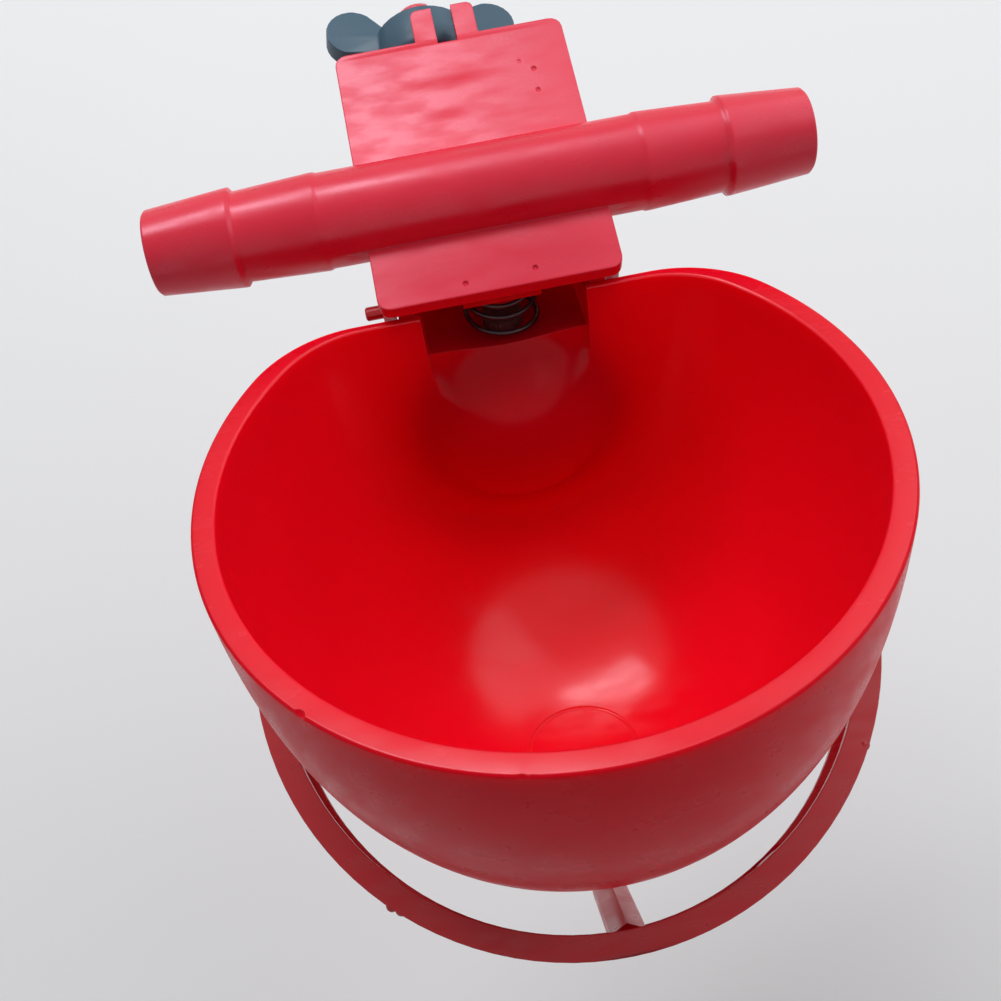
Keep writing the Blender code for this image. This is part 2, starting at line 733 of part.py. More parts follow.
def bowl_plan(radius, chord, corner):
    """Plan about the bowl's centre: a straight back with rounded corners, and room all around the front."""
    reach = radius + CUT_EXTRA
    corner_y = chord - corner
    corner_x = math.sqrt((radius - corner) ** 2 - corner_y ** 2)
    end = math.atan2(corner_y, corner_x)
    right = [
        (corner_x + corner * math.cos(angle), corner_y + corner * math.sin(angle))
        for angle in [
            end + (math.pi / 2 - end) * step / BACK_CORNER_STEPS for step in range(BACK_CORNER_STEPS + 1)
        ]
    ]
    left = [(-x, y) for x, y in reversed(right)]
    sweep = math.pi + 2 * end
    front = [
        (
            -reach * math.cos(end - sweep * step / PLAN_ARC_STEPS),
            reach * math.sin(end - sweep * step / PLAN_ARC_STEPS),
        )
        for step in range(PLAN_ARC_STEPS + 1)
    ]
    return right + left + front


def build_plan_prism(name, radius, chord, corner, group):
    """Upright prism over a plan of the bowl."""
    prism = flat_shape(name, [bowl_plan(radius, chord, corner)], 4 * BOWL_DEPTH, group)
    prism.location = (0.0, BOWL_CENTRE_Y, 0.0)
    return prism


def build_bowl_cavity(frame, group):
    """Space inside the bowl, with its flat back."""
    cavity = turned_shape("bowl_cavity", bowl_inner_profile(), BOWL_SIDES, group)
    cavity.location = (0.0, BOWL_CENTRE_Y, RIM_ABOVE_HINGE)
    corner = BACK_CORNER_RADIUS - RIM_WIDTH
    prism = build_plan_prism("cavity_plan", BOWL_MOUTH, BACK_CHORD - BACK_WALL, corner, group)
    combine(cavity, prism, "INTERSECT")
    cavity.parent = frame
    prism.parent = frame
    return cavity


def build_recess_shell(group):
    """Walls around the valve recess, behind the bowl's back wall."""
    half = RECESS_HALF_WIDTH + RECESS_WALL
    return block(
        "recess_shell",
        (-half, BACK_FACE_Y - BACK_WALL / 2, SHELF_Z - SHELF_THICKNESS),
        (half, BACK_FACE_Y + RECESS_BACK + RECESS_WALL, RIM_ABOVE_HINGE - RECESS_SIDE_TOP),
        group,
    )


def build_set_back_shell(group):
    """Outside of the strip of wall that lies further back on both sides of the dome."""
    half = RECESS_HALF_WIDTH + RECESS_WALL
    return block(
        "set_back_shell",
        (-half, BACK_FACE_Y - BACK_WALL / 2, RIM_ABOVE_HINGE - SET_BACK_BOTTOM - RECESS_WALL),
        (half, BACK_FACE_Y + SET_BACK, SHELF_Z - SHELF_THICKNESS / 2),
        group,
    )


def build_set_back(group):
    """Inside of the same strip."""
    half = RECESS_HALF_WIDTH
    return block(
        "set_back",
        (-half, BACK_FACE_Y - BACK_WALL - INNER_WALL_CUT, RIM_ABOVE_HINGE - SET_BACK_BOTTOM),
        (half, BACK_FACE_Y - BACK_WALL + SET_BACK, SHELF_Z - SHELF_THICKNESS),
        group,
    )


def build_recess(group):
    """Space of the recess above its shelf."""
    half = RECESS_HALF_WIDTH
    return block(
        "recess",
        (-half, BACK_FACE_Y - BACK_WALL - INNER_WALL_CUT, SHELF_Z),
        (half, BACK_FACE_Y + RECESS_BACK, RIM_ABOVE_HINGE + CUT_EXTRA),
        group,
    )


def build_ear(side, group):
    """Ear behind the back wall that takes a hinge pin."""
    root_y = BACK_FACE_Y - BACK_WALL / 2
    outline = [(root_y, -EAR_ROOT_DEPTH)]
    for step in range(EAR_STEPS + 1):
        angle = EAR_ARC_START + (EAR_ARC_END - EAR_ARC_START) * step / EAR_STEPS
        outline.append((EAR_RADIUS * math.cos(angle), EAR_RADIUS * math.sin(angle)))
    outline.append((root_y, RIM_ABOVE_HINGE - SEAT_GAP))
    ear = flat_shape("ear_" + side_name(side), [outline], EAR_THICKNESS, group)
    stand_in_side_plane(ear, side * (EAR_INNER_X + EAR_THICKNESS / 2))
    return ear


def build_dome(frame, group):
    """Round dome below the recess, flat on top, in front of the back wall."""
    reach = 2 * DOME_RADIUS
    dome = ball("dome", DOME_RADIUS, dome_centre(), group)
    top = block(
        "dome_top",
        (-reach, BACK_FACE_Y - reach, RIM_ABOVE_HINGE - DOME_TOP_DEPTH),
        (reach, BACK_FACE_Y + reach, RIM_ABOVE_HINGE + reach),
        group,
    )
    back = block(
        "dome_back",
        (-reach, BACK_FACE_Y - BACK_WALL / 2, RIM_ABOVE_HINGE - DOME_CENTRE_DEPTH - reach),
        (reach, BACK_FACE_Y + reach, RIM_ABOVE_HINGE + reach),
        group,
    )
    for cutter in (top, back):
        combine(dome, cutter, "DIFFERENCE")
        cutter.parent = frame
    dome.parent = frame
    return dome


def build_dome_hollow(frame, group):
    """Hollow behind the dome, open to the back."""
    reach = 2 * DOME_RADIUS
    hollow = ball("dome_hollow", DOME_RADIUS - DOME_WALL, dome_centre(), group)
    roof = block(
        "dome_hollow_roof",
        (-reach, BACK_FACE_Y - reach, SHELF_Z - SHELF_THICKNESS),
        (reach, BACK_FACE_Y + reach, RIM_ABOVE_HINGE + reach),
        group,
    )
    combine(hollow, roof, "DIFFERENCE")
    roof.parent = frame
    hollow.parent = frame
    return hollow


def dome_centre():
    """Centre of the dome in the bowl's frame."""
    return (0.0, BACK_FACE_Y - DOME_CENTRE_BACK, RIM_ABOVE_HINGE - DOME_CENTRE_DEPTH)


def bowl_bores(group):
    """Seat of the pad and bores of the ears."""
    reach = EAR_OUTER_X + CUT_EXTRA
    inner = EAR_INNER_X - EAR_BORE_EXTRA
    return [
        rod(
            "pad_seat", PAD_RADIUS + SEAT_GAP, (0.0, PAD_Y, SHELF_Z - PAD_SINK),
            (0.0, PAD_Y, SHELF_Z + CUT_EXTRA), BORE_SIDES, group,
        ),
        rod("ear_bore_left", PIN_BORE_RADIUS, (-reach, 0.0, 0.0), (-inner, 0.0, 0.0), SMALL_BORE_SIDES, group),
        rod("ear_bore_right", PIN_BORE_RADIUS, (inner, 0.0, 0.0), (reach, 0.0, 0.0), SMALL_BORE_SIDES, group),
    ]


def build_bowl(frame, parts, cutters, material):
    """Round-bottomed bowl with a flat back, a valve recess, a dome and two hinge ears."""
    bowl = turned_shape("bowl", bowl_outer_profile(), BOWL_SIDES, parts)
    bowl.location = (0.0, BOWL_CENTRE_Y, RIM_ABOVE_HINGE)
    bowl.parent = frame
    steps = [
        (
            build_plan_prism("bowl_plan", BOWL_RADIUS, BACK_CHORD, BACK_CORNER_RADIUS, cutters),
            "INTERSECT",
        ),
        (build_bowl_cavity(frame, cutters), "DIFFERENCE"),
        (build_recess_shell(cutters), "UNION"),
        (build_set_back_shell(cutters), "UNION"),
        (build_ear(-1, cutters), "UNION"),
        (build_ear(1, cutters), "UNION"),
        (build_recess(cutters), "DIFFERENCE"),
        (build_set_back(cutters), "DIFFERENCE"),
        (build_dome(frame, cutters), "UNION"),
        (build_dome_hollow(frame, cutters), "DIFFERENCE"),
    ]
    steps.extend((bore, "DIFFERENCE") for bore in bowl_bores(cutters))
    for shape, operation in steps:
        combine(bowl, shape, operation)
        shape.parent = frame
    finish_piece(bowl, material)
    return bowl


def build_pad(frame, parts, material):
    """Rubber disc in the shelf that closes the nozzle."""
    bottom = SHELF_Z - PAD_SINK + SEAT_GAP
    pad = turned_shape(
        "valve_pad",
        [(0.0, PAD_THICKNESS), (PAD_RADIUS, PAD_THICKNESS), (PAD_RADIUS, 0.0), (0.0, 0.0)],
        BORE_SIDES,
        parts,
    )
    pad.location = (0.0, PAD_Y, bottom)
    pad.parent = frame
    finish_piece(pad, material)
    return pad


def build_pin(name, outer_x, side, parts, material):
    """Plain hinge pin, from its outer end inwards."""
    profile = [
        (0.0, PIN_LENGTH / 2),
        (PIN_RADIUS - PIN_END_ROUND, PIN_LENGTH / 2),
        (PIN_RADIUS, PIN_LENGTH / 2 - PIN_END_ROUND),
    ]
    profile += [(radius, -height) for radius, height in reversed(profile)]
    pin = turned_shape(name, profile, SMALL_BORE_SIDES, parts)
    pin.rotation_euler = (0.0, math.pi / 2, 0.0)
    pin.location = (side * (outer_x - PIN_LENGTH / 2), HINGE_Y, HINGE_Z)
    finish_piece(pin, material)
    return pin


def build_nozzle(parts, cutters, material):
    """Nozzle that feeds the bowl, pressed into the valve block."""
    tip_z = TOP_Z - NOZZLE_TIP_DROP
    head_z = NOZZLE_SHOULDER_Z - SEAT_GAP
    cone_low = tip_z + NOZZLE_TIP_LENGTH
    cone_high = cone_low + NOZZLE_TAPER_LENGTH
    profile = [
        (0.0, head_z),
        (NOZZLE_BODY_RADIUS, head_z),
        (NOZZLE_BODY_RADIUS, cone_high),
        (NOZZLE_TAPER_RADIUS, cone_low),
        (NOZZLE_TIP_RADIUS, cone_low),
        (NOZZLE_TIP_RADIUS, tip_z),
        (0.0, tip_z),
    ]
    nozzle = turned_shape("valve_nozzle", profile, BORE_SIDES, parts)
    nozzle.location = (0.0, NOZZLE_Y, 0.0)
    bore = rod(
        "nozzle_bore", NOZZLE_BORE_RADIUS, (0.0, NOZZLE_Y, tip_z - CUT_EXTRA),
        (0.0, NOZZLE_Y, head_z + CUT_EXTRA), SMALL_BORE_SIDES, cutters,
    )
    combine(nozzle, bore, "DIFFERENCE")
    finish_piece(nozzle, material)
    return nozzle


def spring_points():
    """Centre line of the spring: level at the nozzle, tilted with the bowl at the shelf."""
    top_z = VALVE_BLOCK_Z - SEAT_GAP - SPRING_WIRE_RADIUS
    low_y, low_z = bowl_point(PAD_Y, SHELF_Z + SEAT_GAP + SPRING_WIRE_RADIUS)
    count = round(SPRING_TURNS * SPRING_POINTS_PER_TURN)
    points = []
    for index in range(count + 1):
        turns = SPRING_TURNS * index / count
        rise = (turns - SPRING_FLAT_TURNS) / (SPRING_TURNS - 2 * SPRING_FLAT_TURNS)
        rise = max(0.0, min(1.0, rise))
        tilt = BOWL_TILT * rise
        angle = SPRING_START_ANGLE + 2 * math.pi * turns
        across = SPRING_COIL_RADIUS * math.cos(angle)
        along = SPRING_COIL_RADIUS * math.sin(angle)
        centre_y = NOZZLE_Y + (low_y - NOZZLE_Y) * rise * rise
        centre_z = top_z + (low_z - top_z) * rise
        points.append((across, centre_y + along * math.cos(tilt), centre_z - along * math.sin(tilt)))
    return points


def build_spring(parts, material):
    """Wire spring around the nozzle that lifts the bowl's front."""
    curve = bpy.data.curves.new("lift_spring", "CURVE")
    curve.dimensions = "3D"
    curve.bevel_depth = SPRING_WIRE_RADIUS
    curve.bevel_resolution = SPRING_WIRE_STEPS
    curve.use_fill_caps = True
    places = spring_points()
    spline = curve.splines.new("POLY")
    spline.points.add(len(places) - 1)
    for point, place in zip(spline.points, places):
        point.co = (*place, 1.0)
    spring = new_object("lift_spring", curve, parts)
    curve.materials.append(material)
    return spring


def hoop_outline(radius):
    """Plan of a hoop about the guard's axis: front arc, tangent arms and straight rear bar."""
    rear = HOOP_REAR_Y - GUARD_Y + radius - HOOP_MIDDLE_RADIUS
    corner_radius = HOOP_REAR_CORNER + radius - HOOP_MIDDLE_RADIUS
    start = HOOP_TANGENT_ANGLE
    sweep = math.pi + 2 * start
    arm = (rear - radius * math.sin(start)) / math.cos(start)
    corner_x = radius * math.cos(start) - arm * math.sin(start)
    points = [
        (
            radius * math.cos(start - sweep * step / HOOP_ARC_STEPS),
            radius * math.sin(start - sweep * step / HOOP_ARC_STEPS),
        )
        for step in range(HOOP_ARC_STEPS + 1)
    ]
    left_corner = (-corner_x, rear)
    right_corner = (corner_x, rear)
    points += corner_arc(points[-1], left_corner, right_corner, corner_radius, SPINE_BEND_STEPS)
    points += corner_arc(left_corner, right_corner, points[0], corner_radius, SPINE_BEND_STEPS)
    return points


def build_hoop(name, inner_radius, outer_radius, top_z, group):
    """Flat hoop of the guard."""
    outlines = [hoop_outline(outer_radius), hoop_outline(inner_radius)]
    hoop = flat_shape(name, outlines, HOOP_THICKNESS, group)
    hoop.location = (0.0, GUARD_Y, top_z - HOOP_THICKNESS / 2)
    return hoop


def build_post(index, angle, group):
    """Short post between the two hoops."""
    radius = BOWL_RADIUS + LOWER_HOOP_OVERHANG - LOWER_HOOP_WIDTH / 2
    post = block(
        "post_" + str(index),
        (radius - POST_THICKNESS / 2, -POST_WIDTH / 2, GUARD_TOP_Z - HOOP_SPACING - HOOP_THICKNESS / 2),
        (radius + POST_THICKNESS / 2, POST_WIDTH / 2, GUARD_TOP_Z - HOOP_THICKNESS / 2),
        group,
    )
    post.rotation_euler = (0.0, 0.0, angle)
    post.location = (0.0, GUARD_Y, 0.0)
    return post


def spine_path():
    """Centre line of the spine in (Y, Z), from the tongue's top, under the bowl, to the front hoop."""
    low_z = bowl_point(BOWL_CENTRE_Y, BOWL_BOTTOM_Z, BOWL_SWING)[1] - SPINE_BELOW_BOWL
    front_y = GUARD_Y - HOOP_MIDDLE_RADIUS
    corners = [
        (TONGUE_Y, TONGUE_TOP_Z),
        (TONGUE_Y, TOP_Z - SOCKET_DROP - TONGUE_STRAIGHT),
        (HOOP_REAR_Y, GUARD_TOP_Z + UPRIGHT_STRAIGHT),
        (HOOP_REAR_Y, low_z + SPINE_FOOT_RISE),
        (HOOP_REAR_Y - SPINE_HEEL_RUN, low_z),
        (front_y + SPINE_FRONT_RUN, low_z),
        (front_y, GUARD_TOP_Z - HOOP_THICKNESS),
    ]
    return rounded_path(corners, SPINE_BEND_RADIUS, SPINE_BEND_STEPS)


def build_spine_section(group):
    """Cross-section of the spine: flat below, with a low ridge on the bowl's side."""
    curve = bpy.data.curves.new("spine_section", "CURVE")
    curve.dimensions = "2D"
    corners = [
        (-SPINE_HEIGHT / 2, -SPINE_WIDTH / 2),
        (SPINE_HEIGHT / 2, -SPINE_WIDTH / 2),
        (SPINE_HEIGHT / 2 + SPINE_RIDGE, 0.0),
        (SPINE_HEIGHT / 2, SPINE_WIDTH / 2),
        (-SPINE_HEIGHT / 2, SPINE_WIDTH / 2),
    ]
    spline = curve.splines.new("POLY")
    spline.points.add(len(corners) - 1)
    for point, place in zip(spline.points, corners):
        point.co = (place[0], place[1], 0.0, 1.0)
    spline.use_cyclic_u = True
    return hide_as_cutter(new_object("spine_section", curve, group))


def build_spine(parts, section):
    """Spine swept along its path, in the middle plane."""
    curve = bpy.data.curves.new("guard_ring", "CURVE")
    curve.dimensions = "2D"
    curve.fill_mode = "NONE"
    curve.bevel_mode = "OBJECT"
    curve.bevel_object = section
    curve.use_fill_caps = True
    places = spine_path()
    spline = curve.splines.new("POLY")
    spline.points.add(len(places) - 1)
    for point, place in zip(spline.points, places):
        point.co = (place[0], place[1], 0.0, 1.0)
    spine = curve_to_mesh_object(new_object("guard_ring", curve, parts), parts)
    stand_in_side_plane(spine, 0.0)
    return spine


def build_guard(parts, cutters, material):
    """Guard: spine, two hoops and posts in one moulding."""
    guard = build_spine(parts, build_spine_section(cutters))
    lower_outer = BOWL_RADIUS + LOWER_HOOP_OVERHANG
    additions = [
        build_hoop("upper_hoop", GUARD_RADIUS - UPPER_HOOP_WIDTH, GUARD_RADIUS, GUARD_TOP_Z, cutters),
        build_hoop("lower_hoop", lower_outer - LOWER_HOOP_WIDTH, lower_outer, GUARD_TOP_Z - HOOP_SPACING, cutters),
    ]
    additions += [build_post(index, angle, cutters) for index, angle in enumerate(POST_ANGLES, start=1)]
    for addition in additions:
        combine(guard, addition, "UNION")
    finish_piece(guard, material)
    return guard


def wing_outline(side):
    """Outline of one wing in (X, axis) of the nut."""
    centre_x = WING_REACH - WING_LOBE_RADIUS
    centre_y = NUT_BACK_Y + WING_LOBE_BEHIND_NUT
    root_x = NUT_RADIUS - WING_ROOT_INSET
    points = [(root_x, NUT_FRONT_Y + WING_FRONT_INSET)]
    for step in range(WING_ARC_STEPS + 1):
        angle = WING_ARC_START + (WING_ARC_END - WING_ARC_START) * step / WING_ARC_STEPS
        points.append((
            centre_x + WING_LOBE_RADIUS * math.cos(angle),
            centre_y + WING_LOBE_RADIUS * math.sin(angle),
        ))
    points.append((root_x, NUT_BACK_Y + WING_LOBE_BEHIND_NUT))
    return [(side * x, y) for x, y in points]


def build_wing(side, frame, group):
    """One wing of the nut."""
    wing = flat_shape("wing_" + side_name(side), [wing_outline(side)], WING_THICKNESS, group)
    round_edges(wing, WING_EDGE_ROUND)
    wing.rotation_euler = (math.pi / 2, 0.0, 0.0)
    wing.parent = frame
    return wing


def build_wing_nut(parts, cutters, material):
    """Wing nut on the stud, turned a little so that its left wing stands higher."""
    place = (
        Matrix.Translation((STUD_OFFSET_X, 0.0, STUD_Z))
        @ Matrix.Rotation(-math.pi / 2, 4, "X")
        @ Matrix.Rotation(NUT_TURN, 4, "Z")
    )
    frame = make_frame("nut_axis", place, parts)
    profile = [
        (0.0, NUT_BACK_Y),
        (NUT_RADIUS - NUT_EDGE_ROUND, NUT_BACK_Y),
        (NUT_RADIUS, NUT_BACK_Y - NUT_EDGE_ROUND),
        (NUT_RADIUS, NUT_FRONT_Y + NUT_EDGE_ROUND),
        (NUT_RADIUS - NUT_EDGE_ROUND, NUT_FRONT_Y),
        (0.0, NUT_FRONT_Y),
    ]
    nut = turned_shape("wing_nut", profile, BORE_SIDES, parts)
    nut.parent = frame
    for side in (-1, 1):
        combine(nut, build_wing(side, frame, cutters), "UNION")
    bore = rod(
        "nut_bore", NUT_BORE_RADIUS, (0.0, 0.0, NUT_FRONT_Y - CUT_EXTRA),
        (0.0, 0.0, NUT_BACK_Y + CUT_EXTRA), BORE_SIDES, cutters,
    )
    bore.parent = frame
    combine(nut, bore, "DIFFERENCE")
    finish_piece(nut, material)
    return nut


def main():
    """Build every piece."""
    clear_scene()
    parts = make_collection(ASSEMBLY_NAME)
    cutters = make_collection(CUTTER_COLLECTION)
    red = make_material("red_plastic", RED, 0.35)
    blue_grey = make_material("blue_grey_plastic", BLUE_GREY, 0.5)
    brown = make_material("brown_plastic", BROWN, 0.4)
    rubber = make_material("black_rubber", RUBBER, 0.7)
    steel = make_material("blackened_wire", SPRING_STEEL, 0.4, 0.6)
    hinge_place = Matrix.Translation((0.0, HINGE_Y, HINGE_Z)) @ Matrix.Rotation(-BOWL_TILT, 4, "X")
    bowl_frame = make_frame("bowl_hinge", hinge_place, parts)
    build_housing(parts, cutters, red)
    build_bowl(bowl_frame, parts, cutters, red)
    build_pad(bowl_frame, parts, rubber)
    build_pin("hinge_pin_left", LUG_OUTER_X + PIN_PROUD, -1, parts, red)
    build_pin("hinge_pin_right", LUG_OUTER_X - SEAT_GAP, 1, parts, red)
    build_nozzle(parts, cutters, brown)
    build_spring(parts, steel)
    build_guard(parts, cutters, red)
    build_wing_nut(parts, cutters, blue_grey)
    bpy.context.view_layer.update()


main()
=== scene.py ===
"""Looks of a poultry drinking cup that hangs on the wires of a cage.

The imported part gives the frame. Each class below builds one sub-assembly in metres, in the part's own
frame: +Z up, the front is -Y, and the origin lies on the rear face that bears on the cage.
"""

import json
import logging
import math
from dataclasses import dataclass, replace
from enum import Enum
from typing import Callable, Optional, Sequence

import bmesh
import bpy
import numpy as np
from mathutils import Matrix, Vector

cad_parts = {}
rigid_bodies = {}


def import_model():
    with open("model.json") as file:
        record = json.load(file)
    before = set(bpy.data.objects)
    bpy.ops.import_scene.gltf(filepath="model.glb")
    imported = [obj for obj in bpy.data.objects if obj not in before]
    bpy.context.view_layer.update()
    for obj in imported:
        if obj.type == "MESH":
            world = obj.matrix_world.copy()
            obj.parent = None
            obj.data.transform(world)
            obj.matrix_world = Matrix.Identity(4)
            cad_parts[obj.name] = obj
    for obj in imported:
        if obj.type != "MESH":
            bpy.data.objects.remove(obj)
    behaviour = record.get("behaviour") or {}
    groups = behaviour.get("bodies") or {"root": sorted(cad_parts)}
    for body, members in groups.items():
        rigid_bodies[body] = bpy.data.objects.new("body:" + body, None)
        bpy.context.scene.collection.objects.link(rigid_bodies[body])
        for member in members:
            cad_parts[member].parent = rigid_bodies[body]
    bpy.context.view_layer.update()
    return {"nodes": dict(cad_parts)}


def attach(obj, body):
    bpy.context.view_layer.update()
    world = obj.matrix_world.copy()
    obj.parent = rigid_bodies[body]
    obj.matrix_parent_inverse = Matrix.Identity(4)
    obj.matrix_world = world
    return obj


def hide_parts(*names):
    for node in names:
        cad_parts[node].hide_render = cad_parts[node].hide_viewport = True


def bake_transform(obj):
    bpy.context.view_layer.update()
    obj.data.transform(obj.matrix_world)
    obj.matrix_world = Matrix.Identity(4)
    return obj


MM = 0.001
WELD_DISTANCE = 0.004 * MM
SMOOTH_DEGREES = 32.0
BOWL_SMOOTH_DEGREES = 40.0
FACE_WEIGHT = 90
BEVEL_SEGMENTS = 3
CUT_EXTRA = 2.0 * MM
BORE_EXTRA = 0.5 * MM
GATE_SIDES = 96
SEAT_SIDES = 48
BORE_SIDES = 32
FULL_TURN = 2 * math.pi
SHELL_OFFSET = 0.15 * MM
RIM_SEARCH = 1.01
RIM_HALVINGS = 30
ORIGIN = (0.0, 0.0, 0.0)
BLACK = (0.0, 0.0, 0.0)
LOG = logging.getLogger("drinking_cup")

Colour = tuple[float, float, float]
Point = tuple[float, float, float]
Outline = list[tuple[float, float]]
Item = bpy.types.Object
Material = bpy.types.Material
Socket = bpy.types.NodeSocket
Vertex = bmesh.types.BMVert


class Body(Enum):
    """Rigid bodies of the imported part."""

    HOLDER = "holder"
    BOWL = "drinking_bowl"
    NUT = "clamp_nut"


class Slot(Enum):
    """Material slots of the record."""

    RED = "red_plastic"
    BLUE_GREY = "blue_grey_plastic"
    BROWN = "brown_plastic"
    RUBBER = "black_rubber"
    WIRE = "blackened_wire"


class Cut(Enum):
    """Boolean operations."""

    JOIN = "UNION"
    REMOVE = "DIFFERENCE"


@dataclass(frozen=True)
class HingeFrame:
    """Frame of the bowl: origin on the hinge axis, turned back by the tilt of the empty bowl.

    Attributes:
        y: Hinge axis, front to back.
        z: Hinge axis, height.
        tilt: How far the front stands up, in radians.
    """

    y: float = -40.8 * MM
    z: float = 11.27 * MM
    tilt: float = math.radians(22.1)

    def matrix(self) -> Matrix:
        """Place of the frame in the part's frame."""
        return Matrix.Translation((0.0, self.y, self.z)) @ Matrix.Rotation(-self.tilt, 4, "X")


def link(item: Item) -> Item:
    """Add an object to the scene."""
    bpy.context.scene.collection.objects.link(item)
    return item


def new_mesh_object(name: str, shape: bmesh.types.BMesh) -> Item:
    """Turn a bmesh into a linked object.

    Args:
        name: Name of the object and its mesh.
        shape: The shape, which is freed.

    Returns:
        The new object.
    """
    mesh = bpy.data.meshes.new(name)
    shape.to_mesh(mesh)
    shape.free()
    return link(bpy.data.objects.new(name, mesh))


def bake_modifiers(item: Item) -> Item:
    """Apply every modifier and the object's own place to its mesh.

    Args:
        item: A mesh or curve object.

    Returns:
        A mesh object with the same name, at the origin.
    """
    bpy.context.view_layer.update()
    depsgraph = bpy.context.evaluated_depsgraph_get()
    mesh = bpy.data.meshes.new_from_object(item.evaluated_get(depsgraph))
    mesh.transform(item.matrix_world)
    name = item.name
    bpy.data.objects.remove(item, do_unlink=True)
    result = link(bpy.data.objects.new(name, mesh))
    mesh.name = name
    return result


def combine(item: Item, others: Sequence[Item], cut: Cut) -> Item:
    """Join an object with others, or cut them out of it. The others are then removed.

    Args:
        item: The object that stays.
        others: The shapes to combine it with.
        cut: The operation.

    Returns:
        The combined object.
    """
    for other in others:
        boolean = item.modifiers.new(other.name, "BOOLEAN")
        boolean.operation = cut.value
        boolean.solver = "EXACT"
        boolean.object = other
    result = bake_modifiers(item)
    for other in others:
        bpy.data.objects.remove(other, do_unlink=True)
    return result


def smooth(item: Item, degrees: float = SMOOTH_DEGREES) -> None:
    """Shade smooth, with edges sharper than an angle kept.

    Args:
        item: A mesh object.
        degrees: Largest angle between faces that is smoothed.
    """
    shape = bmesh.new()
    shape.from_mesh(item.data)
    bmesh.ops.remove_doubles(shape, verts=shape.verts, dist=WELD_DISTANCE)
    shape.to_mesh(item.data)
    shape.free()
    item.data.shade_smooth()
    item.data.set_sharp_from_angle(angle=math.radians(degrees))
    weighted = item.modifiers.new("even_shading", "WEIGHTED_NORMAL")
    weighted.keep_sharp = True
    weighted.weight = FACE_WEIGHT


def turned(name: str, profile: Outline, sides: int) -> Item:
    """Turn a profile of (radius, height) points about Z.

    Args:
        name: Name of the object.
        profile: Points from the axis back to the axis.
        sides: Sides of the round shape.

    Returns:
        The closed solid.
    """
    shape = bmesh.new()
    line = [shape.verts.new((radius, 0.0, height)) for radius, height in profile]
    edges = [shape.edges.new(pair) for pair in zip(line, line[1:])]
    bmesh.ops.spin(
        shape, geom=line + edges, cent=(0, 0, 0), axis=(0, 0, 1), angle=FULL_TURN, steps=sides,
        use_merge=True,
    )
    bmesh.ops.remove_doubles(shape, verts=shape.verts, dist=WELD_DISTANCE)
    bmesh.ops.recalc_face_normals(shape, faces=shape.faces)
    return new_mesh_object(name, shape)


def block(name: str, low: Point, high: Point) -> Item:
    """Box between two corners."""
    shape = bmesh.new()
    bmesh.ops.create_cube(shape, size=1.0)
    for vertex in shape.verts:
        vertex.co = [low[k] + (vertex.co[k] + 0.5) * (high[k] - low[k]) for k in range(3)]
    return new_mesh_object(name, shape)


def rounded_block(name: str, low: Point, high: Point, radius: float) -> Item:
    """Box between two corners with rounded edges.

    Args:
        name: Name of the object.
        low: Lowest corner.
        high: Highest corner.
        radius: Radius of every edge.

    Returns:
        The box.
    """
    item = block(name, low, high)
    bevel = item.modifiers.new("edges", "BEVEL")
    bevel.width = radius
    bevel.segments = BEVEL_SEGMENTS
    return bake_modifiers(item)


def ball(name: str, centre: Point, radius: float, sides: int = 24, rings: int = 16) -> Item:
    """Ball around a centre."""
    shape = bmesh.new()
    bmesh.ops.create_uvsphere(shape, u_segments=sides, v_segments=rings, radius=radius)
    bmesh.ops.translate(shape, verts=shape.verts, vec=centre)
    return new_mesh_object(name, shape)


def around(ring: list[Vertex]) -> list[tuple[Vertex, Vertex]]:
    """Each point of a closed ring with the next one."""
    return list(zip(ring, [*ring[1:], ring[0]]))


def extruded(name: str, outline: Outline, low: float, high: float) -> Item:
    """Prism over an outline in the side view.

    Args:
        name: Name of the object.
        outline: Points as (towards the back, height).
        low: Left end.
        high: Right end.

    Returns:
        The prism.
    """
    shape = bmesh.new()
    left = [shape.verts.new((low, y, z)) for y, z in outline]
    right = [shape.verts.new((high, y, z)) for y, z in outline]
    shape.faces.new(left)
    shape.faces.new(list(reversed(right)))
    for (near, near_next), (far, far_next) in zip(around(left), around(right)):
        shape.faces.new((near, far, far_next, near_next))
    bmesh.ops.recalc_face_normals(shape, faces=shape.faces)
    return new_mesh_object(name, shape)


def copy_of_node(name: str, node: Item) -> Item:
    """Start a finer piece from a solid of the part.

    Args:
        name: Name of the new piece.
        node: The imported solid, which stays as it is.

    Returns:
        A smoothly shaded copy that stands for the solid.
    """
    item = link(bpy.data.objects.new(name, node.data.copy()))
    item.data.materials.clear()
    smooth(item)
    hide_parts(node.name)
    return item


def dress(item: Item, material: Material, body: Body) -> None:
    """Give a piece its material and its body.

    Args:
        item: The piece, in place.
        material: Its finish.
        body: The rigid body that carries it.
    """
    item.data.materials.clear()
    item.data.materials.append(material)
    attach(item, body.value)
    LOG.info("%s on %s, %d faces", item.name, body.value, len(item.data.polygons))


@dataclass(frozen=True)
class Pattern:
    """Noise of a scale per metre and of some octaves, mapped smoothly from low..high to start..end."""

    scale: float
    detail: float
    low: float
    high: float
    start: float = 0.0
    end: float = 1.0


